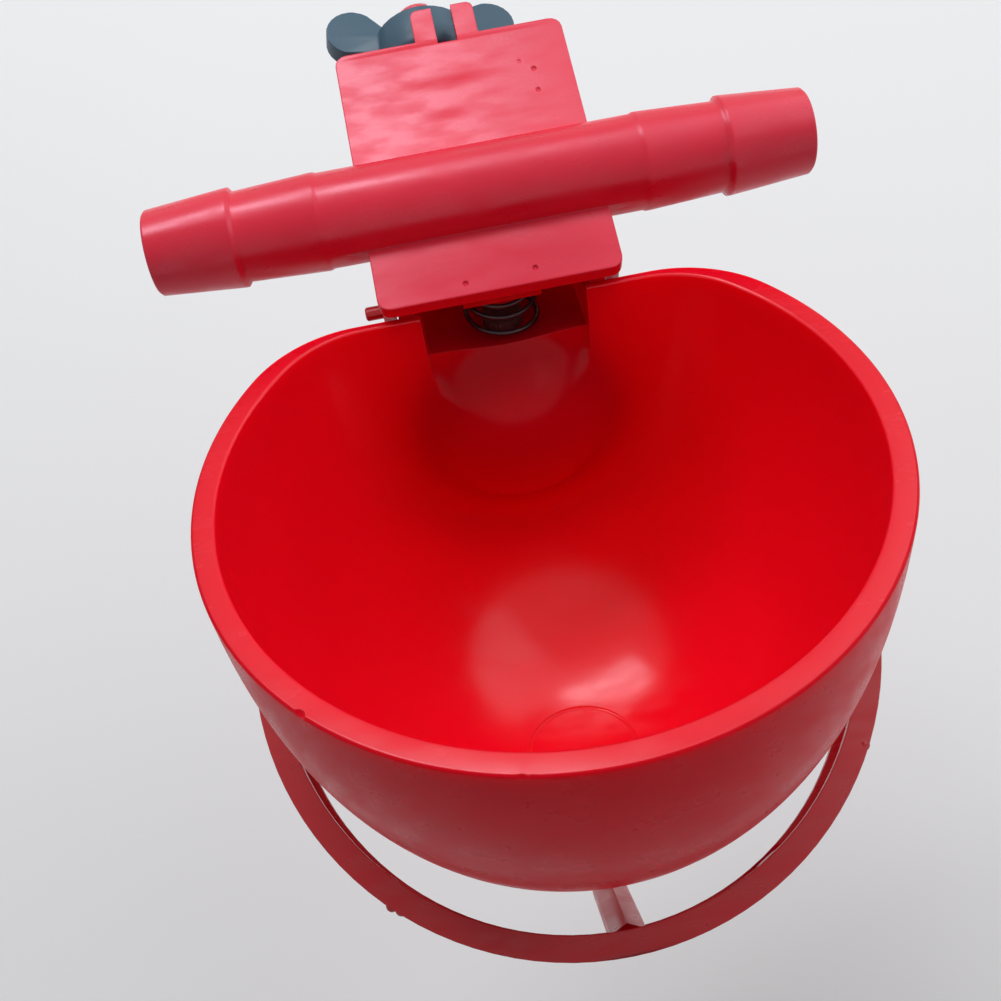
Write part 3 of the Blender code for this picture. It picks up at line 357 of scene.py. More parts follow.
MOTTLING = Pattern(70.0, 3.0, 0.35, 0.75, 0.0, 0.35)
EDGE_WEAR_AND_HIGHLIGHT = Pattern(420.0, 3.0, 0.3, 0.65, 0.25, 1.0)
SCUFFS = Pattern(160.0, 6.0, 0.35, 0.7)
WIRE_STAIN = Pattern(700.0, 3.0, 0.4, 0.7, 0.0, 0.6)
WIRE_ROUGHNESS = Pattern(2000.0, 2.0, 0.3, 0.7, 0.28, 0.5)
RUBBER_DUST = Pattern(300.0, 4.0, 0.45, 0.75, 0.0, 0.5)
RUBBER_ROUGHNESS = Pattern(900.0, 3.0, 0.3, 0.7, 0.6, 0.85)
FLOOR_TINT = Pattern(3.0, 2.0, 0.3, 0.7)


class NodeGraph:
    """Short way to write a material's nodes."""

    edge_flat: float = 0.999
    edge_sharp: float = 0.9
    edge_samples: int = 6
    rounding_samples: int = 4
    away_low: float = 0.45
    away_high: float = 0.8

    def __init__(self, name: str) -> None:
        """Start a material with one Principled BSDF."""
        self.material = bpy.data.materials.new(name)
        self.material.use_nodes = True
        self.tree = self.material.node_tree
        self.shader = self.tree.nodes["Principled BSDF"]
        self.place = self.add("ShaderNodeTexCoord").outputs["Object"]

    def add(self, kind: str, **values: object) -> bpy.types.ShaderNode:
        """Add a node and set its properties."""
        node = self.tree.nodes.new(kind)
        for key, value in values.items():
            setattr(node, key, value)
        return node

    def join(self, source: Socket, target: Socket) -> None:
        """Link an output to an input."""
        self.tree.links.new(source, target)

    def fill(self, target: Socket, value: object) -> None:
        """Give an input a socket or a plain value."""
        if isinstance(value, Socket):
            self.join(value, target)
        else:
            target.default_value = value

    def feed(self, name: str, value: object) -> None:
        """Give an input of the shader a socket or a plain value."""
        self.fill(self.shader.inputs[name], value)

    def noise(self, scale: float, detail: float, vector: Optional[Socket] = None) -> Socket:
        """Noise between 0 and 1 at a scale per metre."""
        node = self.add("ShaderNodeTexNoise")
        node.inputs["Scale"].default_value = scale
        node.inputs["Detail"].default_value = detail
        self.join(vector or self.place, node.inputs["Vector"])
        return node.outputs["Fac"]

    def pattern(self, pattern: Pattern, vector: Optional[Socket] = None) -> Socket:
        """Noise mapped to a pattern's range."""
        noise = self.noise(pattern.scale, pattern.detail, vector)
        return self.ramp(noise, pattern.low, pattern.high, pattern.start, pattern.end)

    def stretched(self, factors: Point) -> Socket:
        """Object coordinates scaled by a factor on each axis."""
        node = self.add("ShaderNodeMapping")
        node.inputs["Scale"].default_value = factors
        self.join(self.place, node.inputs["Vector"])
        return node.outputs["Vector"]

    def ramp(self, value: Socket, low: float, high: float, start: float, end: float) -> Socket:
        """Map a value from low..high to start..end, clamped."""
        node = self.add("ShaderNodeMapRange", interpolation_type="SMOOTHSTEP")
        for key, number in (("From Min", low), ("From Max", high), ("To Min", start), ("To Max", end)):
            node.inputs[key].default_value = number
        self.join(value, node.inputs["Value"])
        return node.outputs["Result"]

    def mix(self, first: object, second: object, share: Socket) -> Socket:
        """Mix two colours, each a colour or a socket."""
        node = self.add("ShaderNodeMix", data_type="RGBA")
        for key, value in (("A", first), ("B", second)):
            target = [s for s in node.inputs if s.name == key and s.type == "RGBA"][0]
            self.fill(target, value if isinstance(value, Socket) else (*value, 1.0))
        self.join(share, node.inputs["Factor"])
        return [s for s in node.outputs if s.type == "RGBA"][0]

    def calculate(self, operation: str, first: object, second: object) -> Socket:
        """Math node on two numbers or sockets."""
        node = self.add("ShaderNodeMath", operation=operation)
        for target, value in zip(node.inputs, (first, second)):
            self.fill(target, value)
        return node.outputs[0]

    def vector(self, operation: str, first: Socket, second: object = ORIGIN) -> bpy.types.ShaderNode:
        """Vector math node on a socket and a socket or a point."""
        node = self.add("ShaderNodeVectorMath", operation=operation)
        self.fill(node.inputs[0], first)
        self.fill(node.inputs[1], second)
        return node

    def distance(self, point: Point, reach: Point) -> Socket:
        """Distance from a point of the part's frame, as a share of a reach on each axis."""
        offset = self.vector("SUBTRACT", self.place, point)
        share = self.vector("DIVIDE", offset.outputs["Vector"], reach)
        return self.vector("LENGTH", share.outputs["Vector"]).outputs["Value"]

    def paint_shade(self, colour: Socket, share: Socket, shade: float) -> Socket:
        """Paint shade: take part of a colour away, by a share of a shade."""
        if shade == 0.0:
            return colour
        return self.mix(colour, BLACK, self.calculate("MULTIPLY", share, shade))

    def faces_away(self, centre: Point) -> Socket:
        """Share from 0 to 1 by which the surface faces away from a point of the part's frame."""
        offset = self.vector("SUBTRACT", self.place, centre)
        unit = self.vector("NORMALIZE", offset.outputs["Vector"])
        along = self.vector("DOT_PRODUCT", unit.outputs["Vector"], self.place.node.outputs["Normal"])
        return self.ramp(along.outputs["Value"], self.away_low, self.away_high, 0.0, 1.0)

    def edge_mask(self, radius: float) -> Socket:
        """Share of how near a point lies to a sharp edge."""
        bevel = self.add("ShaderNodeBevel", samples=self.edge_samples)
        bevel.inputs["Radius"].default_value = radius
        flat = self.add("ShaderNodeNewGeometry").outputs["Normal"]
        alike = self.vector("DOT_PRODUCT", bevel.outputs["Normal"], flat)
        return self.ramp(alike.outputs["Value"], self.edge_flat, self.edge_sharp, 0.0, 1.0)

    def bump(self, height: Socket, depth: float, edge_radius: float) -> None:
        """Bump and rounded edges on the shader.

        Args:
            height: Height of the relief, as a share of the depth.
            depth: Depth of the relief, in metres.
            edge_radius: Radius at which sharp edges look rounded.
        """
        bevel = self.add("ShaderNodeBevel", samples=self.rounding_samples)
        bevel.inputs["Radius"].default_value = edge_radius
        node = self.add("ShaderNodeBump")
        node.inputs["Strength"].default_value = 1.0
        node.inputs["Distance"].default_value = depth
        self.join(height, node.inputs["Height"])
        self.join(bevel.outputs["Normal"], node.inputs["Normal"])
        self.join(node.outputs["Normal"], self.shader.inputs["Normal"])


@dataclass(frozen=True)
class SinkAndShadePatch:
    """Patch with less sheen: sunken where thick plastic shrank, and darkened by painted shade where its
    shade is set.

    Attributes:
        place: Centre in the part's frame.
        reach: Half sizes along X, Y and Z.
        depth: Depth of the patch, in metres.
        strength: Largest share of the patch's effect.
        shade: How much of the colour the patch's painted shade takes away.
    """

    place: Point
    reach: Point
    depth: float = 0.0
    strength: float = 0.6
    shade: float = 0.0


@dataclass(frozen=True)
class Outside:
    """How the outside of a hollow part differs from its polished inside, painted shade included.

    Attributes:
        centre: Point that the inside faces.
        gloss: Strength of the outside's reflection.
        rougher: Roughness that the outside has more.
        shade: How much painted shade darkens the outside's colour.
    """

    centre: Point
    gloss: float
    rougher: float
    shade: float


@dataclass(frozen=True)
class MouldedPlastic:
    """Injection-moulded plastic with mottling, fine texture, scuffs and paler edges that are partly wear
    and partly a painted highlight.

    Colours are linear, and scales count waves or grains per metre.

    Attributes:
        deep: Darker colour that the mottling mixes in.
        roughness_spread: How far scuffs change the roughness.
        translucency: Share of light that scatters inside.
        edge_share: Most that an edge turns pale.
        scatter: How far red light travels inside, in metres.
        gloss: Strength of the reflection, 0.5 for plain plastic.
        waves: Depth of the soft unevenness, in metres.
        outside: What differs on the outside of a hollow part, painted shade included.
        patches: Sunken patches and patches of painted shade, with less sheen.
        rounded_edge: Radius at which sharp edges look rounded.
        grain_height: Height of the grain, in millimetres.
        scuff_stretch: How much closer scuffs lie along each axis.
        scatter_shares: How far each colour travels, as a share of red.
        patch_outer: Share of its reach where a patch ends. It is full at patch_inner.
        patch_dulling: How much of the gloss a full patch takes away.
    """

    name: str
    colour: Colour
    deep: Colour
    edge: Colour
    roughness: float = 0.3
    roughness_spread: float = 0.07
    translucency: float = 0.1
    edge_share: float = 0.3
    scatter: float = 4.5 * MM
    gloss: float = 0.4
    waves: float = 0.035 * MM
    sheen_tint: Colour = (1.0, 1.0, 1.0)
    outside: Optional[Outside] = None
    patches: tuple[SinkAndShadePatch, ...] = ()
    refraction: float = 1.49
    pale_edge_radius: float = 0.45 * MM
    rounded_edge: float = 0.3 * MM
    wave_scale: float = 80.0
    grain_scale: float = 1600.0
    grain_height: float = 0.005
    noise_detail: float = 2.0
    scuff_stretch: Point = (1.0, 2.6, 1.0)
    scatter_shares: Colour = (1.0, 0.08, 0.06)
    patch_outer: float = 1.35
    patch_inner: float = 0.25
    patch_dulling: float = 0.95

    def build(self) -> Material:
        """Make the material."""
        graph = NodeGraph(self.name)
        base = graph.mix(self.colour, self.deep, graph.pattern(MOTTLING))
        # Paler edges, partly wear and partly a painted highlight along sharp edges.
        wear_and_highlight = graph.calculate("MULTIPLY", graph.edge_mask(self.pale_edge_radius), graph.pattern(EDGE_WEAR_AND_HIGHLIGHT))
        colour = graph.mix(base, self.edge, graph.calculate("MULTIPLY", wear_and_highlight, self.edge_share))
        low = self.roughness - self.roughness_spread
        high = self.roughness + self.roughness_spread
        scuffs = replace(SCUFFS, start=low, end=high)
        roughness = graph.pattern(scuffs, graph.stretched(self.scuff_stretch))
        soft = graph.noise(self.wave_scale, self.noise_detail)
        soft = graph.calculate("MULTIPLY", soft, self.waves / MM)
        grain = graph.noise(self.grain_scale, self.noise_detail)
        grain = graph.calculate("MULTIPLY", grain, self.grain_height)
        relief = graph.calculate("ADD", soft, grain)
        gloss = self.gloss
        if self.outside:
            share = graph.faces_away(self.outside.centre)
            gloss = graph.ramp(share, 0.0, 1.0, self.gloss, self.outside.gloss)
            rougher = graph.calculate("MULTIPLY", share, self.outside.rougher)
            roughness = graph.calculate("ADD", roughness, rougher)
            # Painted shade on the outside of a hollow part.
            colour = graph.paint_shade(colour, share, self.outside.shade)
        for patch in self.patches:
            away = graph.distance(patch.place, patch.reach)
            share = graph.ramp(away, self.patch_outer, self.patch_inner, 0.0, patch.strength)
            sunk = graph.calculate("MULTIPLY", share, patch.depth / MM)
            relief = graph.calculate("SUBTRACT", relief, sunk)
            dulling = graph.calculate("MULTIPLY", share, self.patch_dulling)
            gloss = graph.calculate("MULTIPLY", gloss, graph.calculate("SUBTRACT", 1.0, dulling))
            # Painted shade where a patch has a shade.
            colour = graph.paint_shade(colour, share, patch.shade)
        graph.bump(relief, MM, self.rounded_edge)
        graph.feed("Base Color", colour)
        graph.feed("Roughness", roughness)
        graph.feed("IOR", self.refraction)
        graph.feed("Specular IOR Level", gloss)
        graph.feed("Specular Tint", (*self.sheen_tint, 1.0))
        graph.feed("Subsurface Weight", self.translucency)
        graph.feed("Subsurface Radius", self.scatter_shares)
        graph.feed("Subsurface Scale", self.scatter)
        return graph.material


@dataclass(frozen=True)
class SpringWire:
    """Dark drawn wire with a faint sheen and stains. Colours are linear."""

    name: str = "dark_spring_wire"
    colour: Colour = (0.016, 0.008, 0.012)
    stain: Colour = (0.05, 0.02, 0.018)
    metallic: float = 0.25

    def build(self) -> Material:
        """Make the material."""
        graph = NodeGraph(self.name)
        graph.feed("Base Color", graph.mix(self.colour, self.stain, graph.pattern(WIRE_STAIN)))
        graph.feed("Roughness", graph.pattern(WIRE_ROUGHNESS))
        graph.feed("Metallic", self.metallic)
        return graph.material


@dataclass(frozen=True)
class SoftRubber:
    """Dull, dark red-brown rubber with dust and a fine grain. Colours are linear."""

    name: str = "dull_rubber"
    colour: Colour = (0.07, 0.012, 0.014)
    dust: Colour = (0.12, 0.04, 0.04)
    grain_scale: float = 2500.0
    grain_detail: float = 2.0
    grain_depth: float = 0.02 * MM
    rounded_edge: float = 0.1 * MM

    def build(self) -> Material:
        """Make the material."""
        graph = NodeGraph(self.name)
        graph.feed("Base Color", graph.mix(self.colour, self.dust, graph.pattern(RUBBER_DUST)))
        graph.feed("Roughness", graph.pattern(RUBBER_ROUGHNESS))
        graph.bump(graph.noise(self.grain_scale, self.grain_detail), self.grain_depth, self.rounded_edge)
        return graph.material


@dataclass(frozen=True)
class Finishes:
    """All materials of the cup."""

    red: Material
    red_inside: Material
    red_guard: Material
    blue_grey: Material
    brown: Material
    rubber: Material
    wire: Material


PLATE_PATCHES = (
    SinkAndShadePatch((-1.6 * MM, -8.0 * MM, 17.5 * MM), (7.0 * MM, 1.6 * MM, 3.0 * MM), depth=0.05 * MM),
    SinkAndShadePatch((-2.8 * MM, -14.0 * MM, 17.5 * MM), (3.8 * MM, 1.1 * MM, 3.0 * MM), depth=0.05 * MM),
    # Painted shade and less sheen on the plate's front strip, where the tee pipe shades it.
    SinkAndShadePatch((0.0, -41.5 * MM, 17.5 * MM), (27.0 * MM, 7.0 * MM, 4.0 * MM), shade=0.2),
)
# Painted shade and less sheen over the dome and the valve recess, where the cover plate shades them.
BOWL_PAINTED_SHADE = (
    SinkAndShadePatch((0.0, -47.6 * MM, -10.8 * MM), (24.0 * MM, 24.0 * MM, 26.0 * MM), strength=1.0, shade=0.58),
)
# The bowl's outside: less gloss, rougher and painted shade.
BOWL_OUTSIDE = Outside((0.0, -73.0 * MM, -10.0 * MM), gloss=0.05, rougher=0.1, shade=0.22)


def make_finishes() -> Finishes:
    """Build every finish once."""
    red = MouldedPlastic(
        "red_moulding",
        colour=(0.74, 0.010, 0.034), deep=(0.62, 0.005, 0.024), edge=(0.90, 0.09, 0.11),
        roughness=0.34, scatter=1.5 * MM, gloss=0.55, sheen_tint=(1.0, 0.78, 0.95),
        patches=PLATE_PATCHES,
    )
    red_inside = MouldedPlastic(
        "red_bowl_moulding",
        # Brighter red than the housing's: partly painted light that makes up for light on the bowl's inner
        # walls.
        colour=(0.86, 0.003, 0.018), deep=(0.79, 0.002, 0.014), edge=(0.95, 0.08, 0.10),
        roughness=0.22, roughness_spread=0.05, translucency=0.8, gloss=0.36, waves=0.02 * MM,
        sheen_tint=(1.0, 0.85, 0.9), outside=BOWL_OUTSIDE, patches=BOWL_PAINTED_SHADE,
    )
    red_guard = MouldedPlastic(
        "red_guard_moulding",
        colour=(0.50, 0.006, 0.015), deep=(0.40, 0.003, 0.010), edge=(0.7, 0.06, 0.07),
        roughness=0.34,
    )
    blue_grey = MouldedPlastic(
        "blue_grey_moulding",
        colour=(0.045, 0.10, 0.145), deep=(0.03, 0.075, 0.11), edge=(0.16, 0.26, 0.32),
        roughness=0.42, roughness_spread=0.08, translucency=0.0, gloss=0.3,
    )
    brown = MouldedPlastic(
        "brown_moulding",
        colour=(0.42, 0.04, 0.05), deep=(0.32, 0.03, 0.035), edge=(0.50, 0.1, 0.08),
        roughness=0.4, roughness_spread=0.08, translucency=0.05,
    )
    plastics = [plastic.build() for plastic in (red, red_inside, red_guard, blue_grey, brown)]
    return Finishes(*plastics, SoftRubber().build(), SpringWire().build())


@dataclass
class SubAssembly:
    """What every sub-assembly starts from.

    Attributes:
        nodes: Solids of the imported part, by name.
        finishes: All materials.
    """

    nodes: dict[str, Item]
    finishes: Finishes

    def marked_copy(self, name: str, node: str, marks: list[Item], cut: Cut) -> Item:
        """Start a piece from a solid and combine it with small marks.

        Args:
            name: Name of the piece.
            node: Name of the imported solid.
            marks: Shapes of the marks.
            cut: The operation.

        Returns:
            The smoothly shaded piece, which stands for the solid.
        """
        item = combine(copy_of_node(name, self.nodes[node]), marks, cut)
        smooth(item)
        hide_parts(self.nodes[node].name)
        return item


@dataclass
class Housing(SubAssembly):
    """Cover plate, tee pipe, rear wall, lugs, prongs and stud in one moulding.

    Attributes:
        dimples: Middles of the balls that cut small dimples.
    """

    dimple_radius: float = 0.45 * MM
    dimples: tuple[Point, ...] = (
        (-4.8 * MM, -42.6 * MM, 17.65 * MM),
        (5.1 * MM, -42.2 * MM, 17.65 * MM),
        (9.7 * MM, -6.9 * MM, 17.8 * MM),
        (11.6 * MM, -8.7 * MM, 17.65 * MM),
        (11.5 * MM, -12.6 * MM, 17.7 * MM),
    )

    def build(self) -> Item:
        """Build and dress the housing."""
        dimples = [ball("dimple", place, self.dimple_radius) for place in self.dimples]
        item = self.marked_copy("cover_and_tee_pipe", "housing", dimples, Cut.REMOVE)
        dress(item, self.finishes.red, Body.HOLDER)
        return item


@dataclass
class SmallPieces(SubAssembly):
    """Hinge pins, nozzle and pad."""

    def build(self) -> None:
        """Build and dress each small piece."""
        pieces = (
            ("pin_left", "hinge_pin_left", self.finishes.red_guard, Body.HOLDER, Slot.RED),
            ("pin_right", "hinge_pin_right", self.finishes.red_guard, Body.HOLDER, Slot.RED),
            ("nozzle", "valve_nozzle", self.finishes.brown, Body.HOLDER, Slot.BROWN),
            ("pad", "valve_pad", self.finishes.rubber, Body.BOWL, Slot.RUBBER),
        )
        for name, node, material, body, slot in pieces:
            dress(copy_of_node(name, self.nodes[node]), material, body)


@dataclass
class LiftSpring(SubAssembly):
    """Wire coil around the nozzle: level at the top, tilted with the bowl's shelf below.

    Attributes:
        coil_radius: Radius of the wire's middle line.
        top: Middle of the top coil.
        low: Middle of the lowest coil, in the bowl's frame.
        flat_turns: Turns that lie flat at each end.
    """

    frame: HingeFrame = HingeFrame()
    wire_radius: float = 0.36 * MM
    coil_radius: float = 5.2 * MM
    top: Point = (0.0, -38.6 * MM, 11.84 * MM)
    low: Point = (0.0, 2.45 * MM, -6.44 * MM)
    turns: float = 3.2
    flat_turns: float = 0.45
    steps_per_turn: int = 40
    start_angle: float = math.radians(60.0)
    wire_steps: int = 3

    def middle_line(self) -> list[Vector]:
        """Points along the wire's middle."""
        low = self.frame.matrix() @ Vector(self.low)
        top = Vector(self.top)
        count = round(self.turns * self.steps_per_turn)
        points = []
        for index in range(count + 1):
            turns = self.turns * index / count
            share = (turns - self.flat_turns) / (self.turns - 2 * self.flat_turns)
            share = max(0.0, min(1.0, share))
            angle = self.start_angle + FULL_TURN * turns
            spoke = Vector((math.cos(angle), math.sin(angle), 0.0)) * self.coil_radius
            centre_y = top.y + (low.y - top.y) * share * share
            centre = Vector((0.0, centre_y, top.z + (low.z - top.z) * share))
            points.append(centre + Matrix.Rotation(-self.frame.tilt * share, 3, "X") @ spoke)
        return points

    def build(self) -> Item:
        """Build the coil, from its top at the housing down to its foot on the bowl's shelf."""
        curve = bpy.data.curves.new("spring_line", "CURVE")
        curve.dimensions = "3D"
        curve.bevel_depth = self.wire_radius
        curve.bevel_resolution = self.wire_steps
        curve.use_fill_caps = True
        places = self.middle_line()
        spline = curve.splines.new("POLY")
        spline.points.add(len(places) - 1)
        for point, place in zip(spline.points, places):
            point.co = (*place, 1.0)
        item = bake_modifiers(link(bpy.data.objects.new("coil_spring", curve)))
        item.data.shade_smooth()
        item.data.materials.append(self.finishes.wire)
        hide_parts(self.nodes["lift_spring"].name)
        low = self.frame.matrix() @ Vector(self.low)
        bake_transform(item)
        LOG.info("%s from holder to bowl, %d faces", item.name, len(item.data.polygons))
        return item


@dataclass
class Guard(SubAssembly):
    """Two hoops, posts and spine around the bowl.

    Attributes:
        burrs: Middles of the moulding burrs.
    """

    burr_radius: float = 0.9 * MM
    burrs: tuple[Point, ...] = (
        (-31.2 * MM, -118.9 * MM, -13.5 * MM),
        (-30.0 * MM, -119.7 * MM, -13.4 * MM),
        (38.2 * MM, -110.2 * MM, -13.3 * MM),
    )

    def build(self) -> Item:
        """Build and dress the guard."""
        burrs = [ball("burr", place, self.burr_radius) for place in self.burrs]
        item = self.marked_copy("hooped_guard", "guard_ring", burrs, Cut.JOIN)
        dress(item, self.finishes.red_guard, Body.HOLDER)
        return item


@dataclass
class ClampNut(SubAssembly):
    """Wing nut behind the rear wall."""

    def build(self) -> Item:
        """Build and dress the nut."""
        item = copy_of_node("winged_nut", self.nodes["wing_nut"])
        dress(item, self.finishes.blue_grey, Body.NUT)
        return item


@dataclass(frozen=True)
class BowlSkin:
    """One skin of the bowl: a full, deep wall with a straight back and rounded back corners.

    Attributes:
        radius: Radius at the rim.
        depth: Depth below the rim.
        back: Distance from the bowl's axis to the straight back.
        corner: Radius of the rounded corners in plan.
        fullness: Power of the wall's curve, 2 for an ellipse.
    """

    radius: float
    depth: float
    back: float
    corner: float
    fullness: float = 2.3

    def radius_at(self, down: np.ndarray) -> np.ndarray:
        """Radius of the wall at depths below the rim."""
        share = np.clip(down / self.depth, 0.0, 1.0)
        return self.radius * (1.0 - share**self.fullness) ** (1.0 / self.fullness)

    def margin(self, x: np.ndarray, y: np.ndarray, down: np.ndarray) -> np.ndarray:
        """Distance from the skin in plan, positive inside.

        Args:
            x: Place to the side.
            y: Place towards the back, from the bowl's axis.
            down: Depth below the rim.

        Returns:
            The distance at each point.
        """
        wide = self.radius_at(down)
        side = np.abs(x)
        centre_y = self.back - self.corner
        centre_x = np.sqrt(np.maximum((wide - self.corner) ** 2 - centre_y**2, 0.0))
        beside = side > centre_x
        above = (y - centre_y) * centre_x > (side - centre_x) * centre_y
        rounded = (wide > self.back) & beside & above
        corner = self.corner - np.hypot(side - centre_x, y - centre_y)
        plain = np.minimum(wide - np.hypot(x, y), self.back - y)
        return np.where(down >= self.depth, -1.0, np.where(rounded, corner, plain))


@dataclass
class Bowl(SubAssembly):
    """Round-bottomed bowl with a flat back, a valve recess and a soft dome below it.

    Sizes are in the bowl's own frame, whose origin lies on the hinge axis. In the names, y is a place
    towards the back, z a height and half a half width. The channel is the strip of wall above the dome
    that lies further back.

    Attributes:
        middle_z: Height of the point that the wall is cast from.
        dome_blend: Width of the soft transition around the dome.
        shell_overlap: How far the channel's shell reaches into the back wall and below the shelf.
        shell_drop: How far the recess's shell stays below the rim.
        recess_reach: How far the recess is cut into the bowl.
        ear_sink: How far an ear reaches into the wall.
        gate_centre: Middle of the round groove around the gate mark.
        cast_start: Distance from the middle where casting starts.
        lip_degrees: Angles of the points on the rim's rounded edges.
    """

    frame: HingeFrame = HingeFrame()
    axis_y: float = -35.95 * MM
    rim_z: float = 0.3 * MM
    middle_z: float = -22.0 * MM
    outside: BowlSkin = BowlSkin(44.3 * MM, 64.5 * MM, 33.4 * MM, 18.0 * MM)
    inside: BowlSkin = BowlSkin(41.22 * MM, 62.1 * MM, 32.1 * MM, 14.92 * MM)
    rim_round: float = 0.4 * MM
    back_face: float = -2.55 * MM
    channel_half: float = 11.8 * MM
    channel_back: float = -2.85 * MM
    channel_bottom: float = -20.0 * MM
    channel_top: float = -3.0 * MM
    dome_centre: Point = (0.0, 2.0 * MM, -23.0 * MM)
    dome_radius: float = 15.0 * MM
    dome_wall: float = 1.5 * MM
    dome_blend: float = 5.0 * MM
    dome_sides: int = 64
    dome_rings: int = 48
    shelf_z: float = -7.1 * MM
    shelf_thickness: float = 1.8 * MM
    shell_low: float = -16.5 * MM
    shell_overlap: float = 1.0 * MM
    shell_drop: float = 2.0 * MM
    shell_round: float = 0.3 * MM
    recess_half: float = 11.9 * MM
    recess_back: float = 8.35 * MM
    recess_wall: float = 1.3 * MM
    recess_round: float = 0.35 * MM
    recess_reach: float = 1.5 * MM
    recess_top: float = 6.0 * MM
    ear_inner: float = 12.6 * MM
    ear_outer: float = 14.9 * MM
    ear_radius: float = 2.3 * MM
    ear_root: float = -5.5 * MM
    ear_sink: float = 0.6 * MM
    ear_degrees: range = range(-60, 91, 10)
    pin_bore: float = 1.3 * MM
    pad_y: float = 2.45 * MM
    pad_seat: float = 3.3 * MM
    pad_sink: float = 0.6 * MM
    gate_centre: Point = (0.0, -39.5 * MM, -60.83 * MM)
    gate_radius: float = 8.5 * MM
    gate_groove: float = 0.28 * MM
    gate_tilt: float = math.radians(-5.3)
    groove_degrees: range = range(0, 360, 45)
    nick_radius: float = 1.1 * MM
    nicks: tuple[Point, ...] = (
        (-10.4 * MM, -79.6 * MM, 0.75 * MM),
        (-9.3 * MM, -79.9 * MM, 0.8 * MM),
        (-32.4 * MM, -66.4 * MM, 0.9 * MM),
    )
    outer_rings: int = 56
    inner_rings: int = 84
    back_steps: int = 16
    edge_steps: int = 3
    edge_turn: float = 0.02
    side_steps: int = 118
    cast_start: float = 5.0 * MM
    cast_step: float = 1.5 * MM
    cast_steps: int = 44
    halvings: int = 22
    lip_degrees: tuple[float, ...] = (30.0, 60.0, 90.0)

    def build(self) -> Item:
        """Build and dress the bowl."""
        item = self.skin_mesh()
        shells = [self.recess_shell(), self.channel_shell(), self.ear(-1), self.ear(1)]
        item = combine(item, shells, Cut.JOIN)
        openings = [self.recess(), self.dome_hollow(), self.seat(), self.pin_bores(), self.gate_ring()]
        nicks = [ball("nick", place, self.nick_radius) for place in self.nicks]
        item = combine(item, openings + nicks, Cut.REMOVE)
        item.data.transform(self.frame.matrix())
        item.name = "round_bowl"
        smooth(item, BOWL_SMOOTH_DEGREES)
        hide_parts(self.nodes["bowl"].name)
        dress(item, self.finishes.red_inside, Body.BOWL)
        return item

    def turns(self) -> np.ndarray:
        """Directions around the axis, from the back, denser at the channel's edges."""
        edge_back = math.atan2(self.channel_half, self.channel_back - self.axis_y)
        edge_front = math.atan2(self.channel_half, self.inside.back)
        half = np.concatenate(
            [
                np.linspace(0.0, edge_back, self.back_steps),
                np.linspace(edge_front, edge_front + self.edge_turn, self.edge_steps),
                np.linspace(edge_front + 2 * self.edge_turn, math.pi, self.side_steps),
            ]
        )
        return np.concatenate([half, -half[-2:0:-1]])

    def free_inside(self, points: np.ndarray) -> np.ndarray:
        """Room to the inner surface, where the dome flows softly into the wall.

        Args:
            points: Points in the bowl's frame.

        Returns:
            Positive values in the open space.
        """
        x, y, z = points[..., 0], points[..., 1], points[..., 2]
        wall = self.inside.margin(x, y - self.axis_y, self.rim_z - z)
        channel = np.minimum(self.channel_half - np.abs(x), self.channel_back - y)
        height = np.minimum(z - self.channel_bottom, self.channel_top - z)
        channel = np.minimum(channel, np.minimum(height, y - self.axis_y))
        wall = np.maximum(wall, channel)
        dome = np.linalg.norm(points - np.array(self.dome_centre), axis=-1) - self.dome_radius
        near = np.maximum(self.dome_blend - np.abs(wall - dome), 0.0) / self.dome_blend
        return np.minimum(wall, dome) - near * near * self.dome_blend / 4.0

    def free_outside(self, points: np.ndarray) -> np.ndarray:
        """Room to the outer surface at points of the bowl's frame."""
        x, y, z = points[..., 0], points[..., 1], points[..., 2]
        return self.outside.margin(x, y - self.axis_y, self.rim_z - z)

    def cast(self, room: Callable[[np.ndarray], np.ndarray], top: np.ndarray, rings: int) -> np.ndarray:
        """Surface points along rays from the middle of the bowl.

        Args:
            room: Function that is positive inside the surface.
            top: Radius of the uppermost ring at each turn.
            rings: Number of rings from the rim to the bottom.

        Returns:
            Points as rings x turns x 3.
        """
        turn = self.turns()
        middle = np.array((0.0, self.axis_y, self.middle_z))
        highest = np.arctan2(self.rim_z - self.rim_round - self.middle_z, top)
        share = np.linspace(0.0, 1.0, rings + 1)[:-1, None]
        rise = highest[None, :] * (1.0 - share) - math.pi / 2 * share
        ray = np.stack(
            [np.cos(rise) * np.sin(turn), np.cos(rise) * np.cos(turn), np.sin(rise)], axis=-1
        )
        near = np.full(rise.shape, self.cast_start)
        moving = np.ones(rise.shape, dtype=bool)
        for _ in range(self.cast_steps):
            moving &= room(middle + ray * (near + self.cast_step)[..., None]) > 0.0
            near = np.where(moving, near + self.cast_step, near)
        low, high = near, near + self.cast_step
        for _ in range(self.halvings):
            half = (low + high) / 2
            open_here = room(middle + ray * half[..., None]) > 0.0
            low = np.where(open_here, half, low)
            high = np.where(open_here, high, half)
        return middle + ray * low[..., None]

    def rim_radius(self, skin: BowlSkin) -> np.ndarray:
        """Distance from the axis to a skin's edge at the rim, at each turn."""
        turn = self.turns()
        low = np.zeros_like(turn)
        high = np.full_like(turn, skin.radius * RIM_SEARCH)
        for _ in range(RIM_HALVINGS):
            half = (low + high) / 2
            inside = skin.margin(half * np.sin(turn), half * np.cos(turn), np.zeros_like(turn)) > 0.0
            low = np.where(inside, half, low)
            high = np.where(inside, high, half)
        return low

    def rim_ring(self, radius: np.ndarray, drop: float) -> np.ndarray:
        """One ring of points below the rim's plane."""
        turn = self.turns()
        height = np.full_like(turn, self.rim_z - drop)
        return np.stack([radius * np.sin(turn), self.axis_y + radius * np.cos(turn), height], axis=-1)

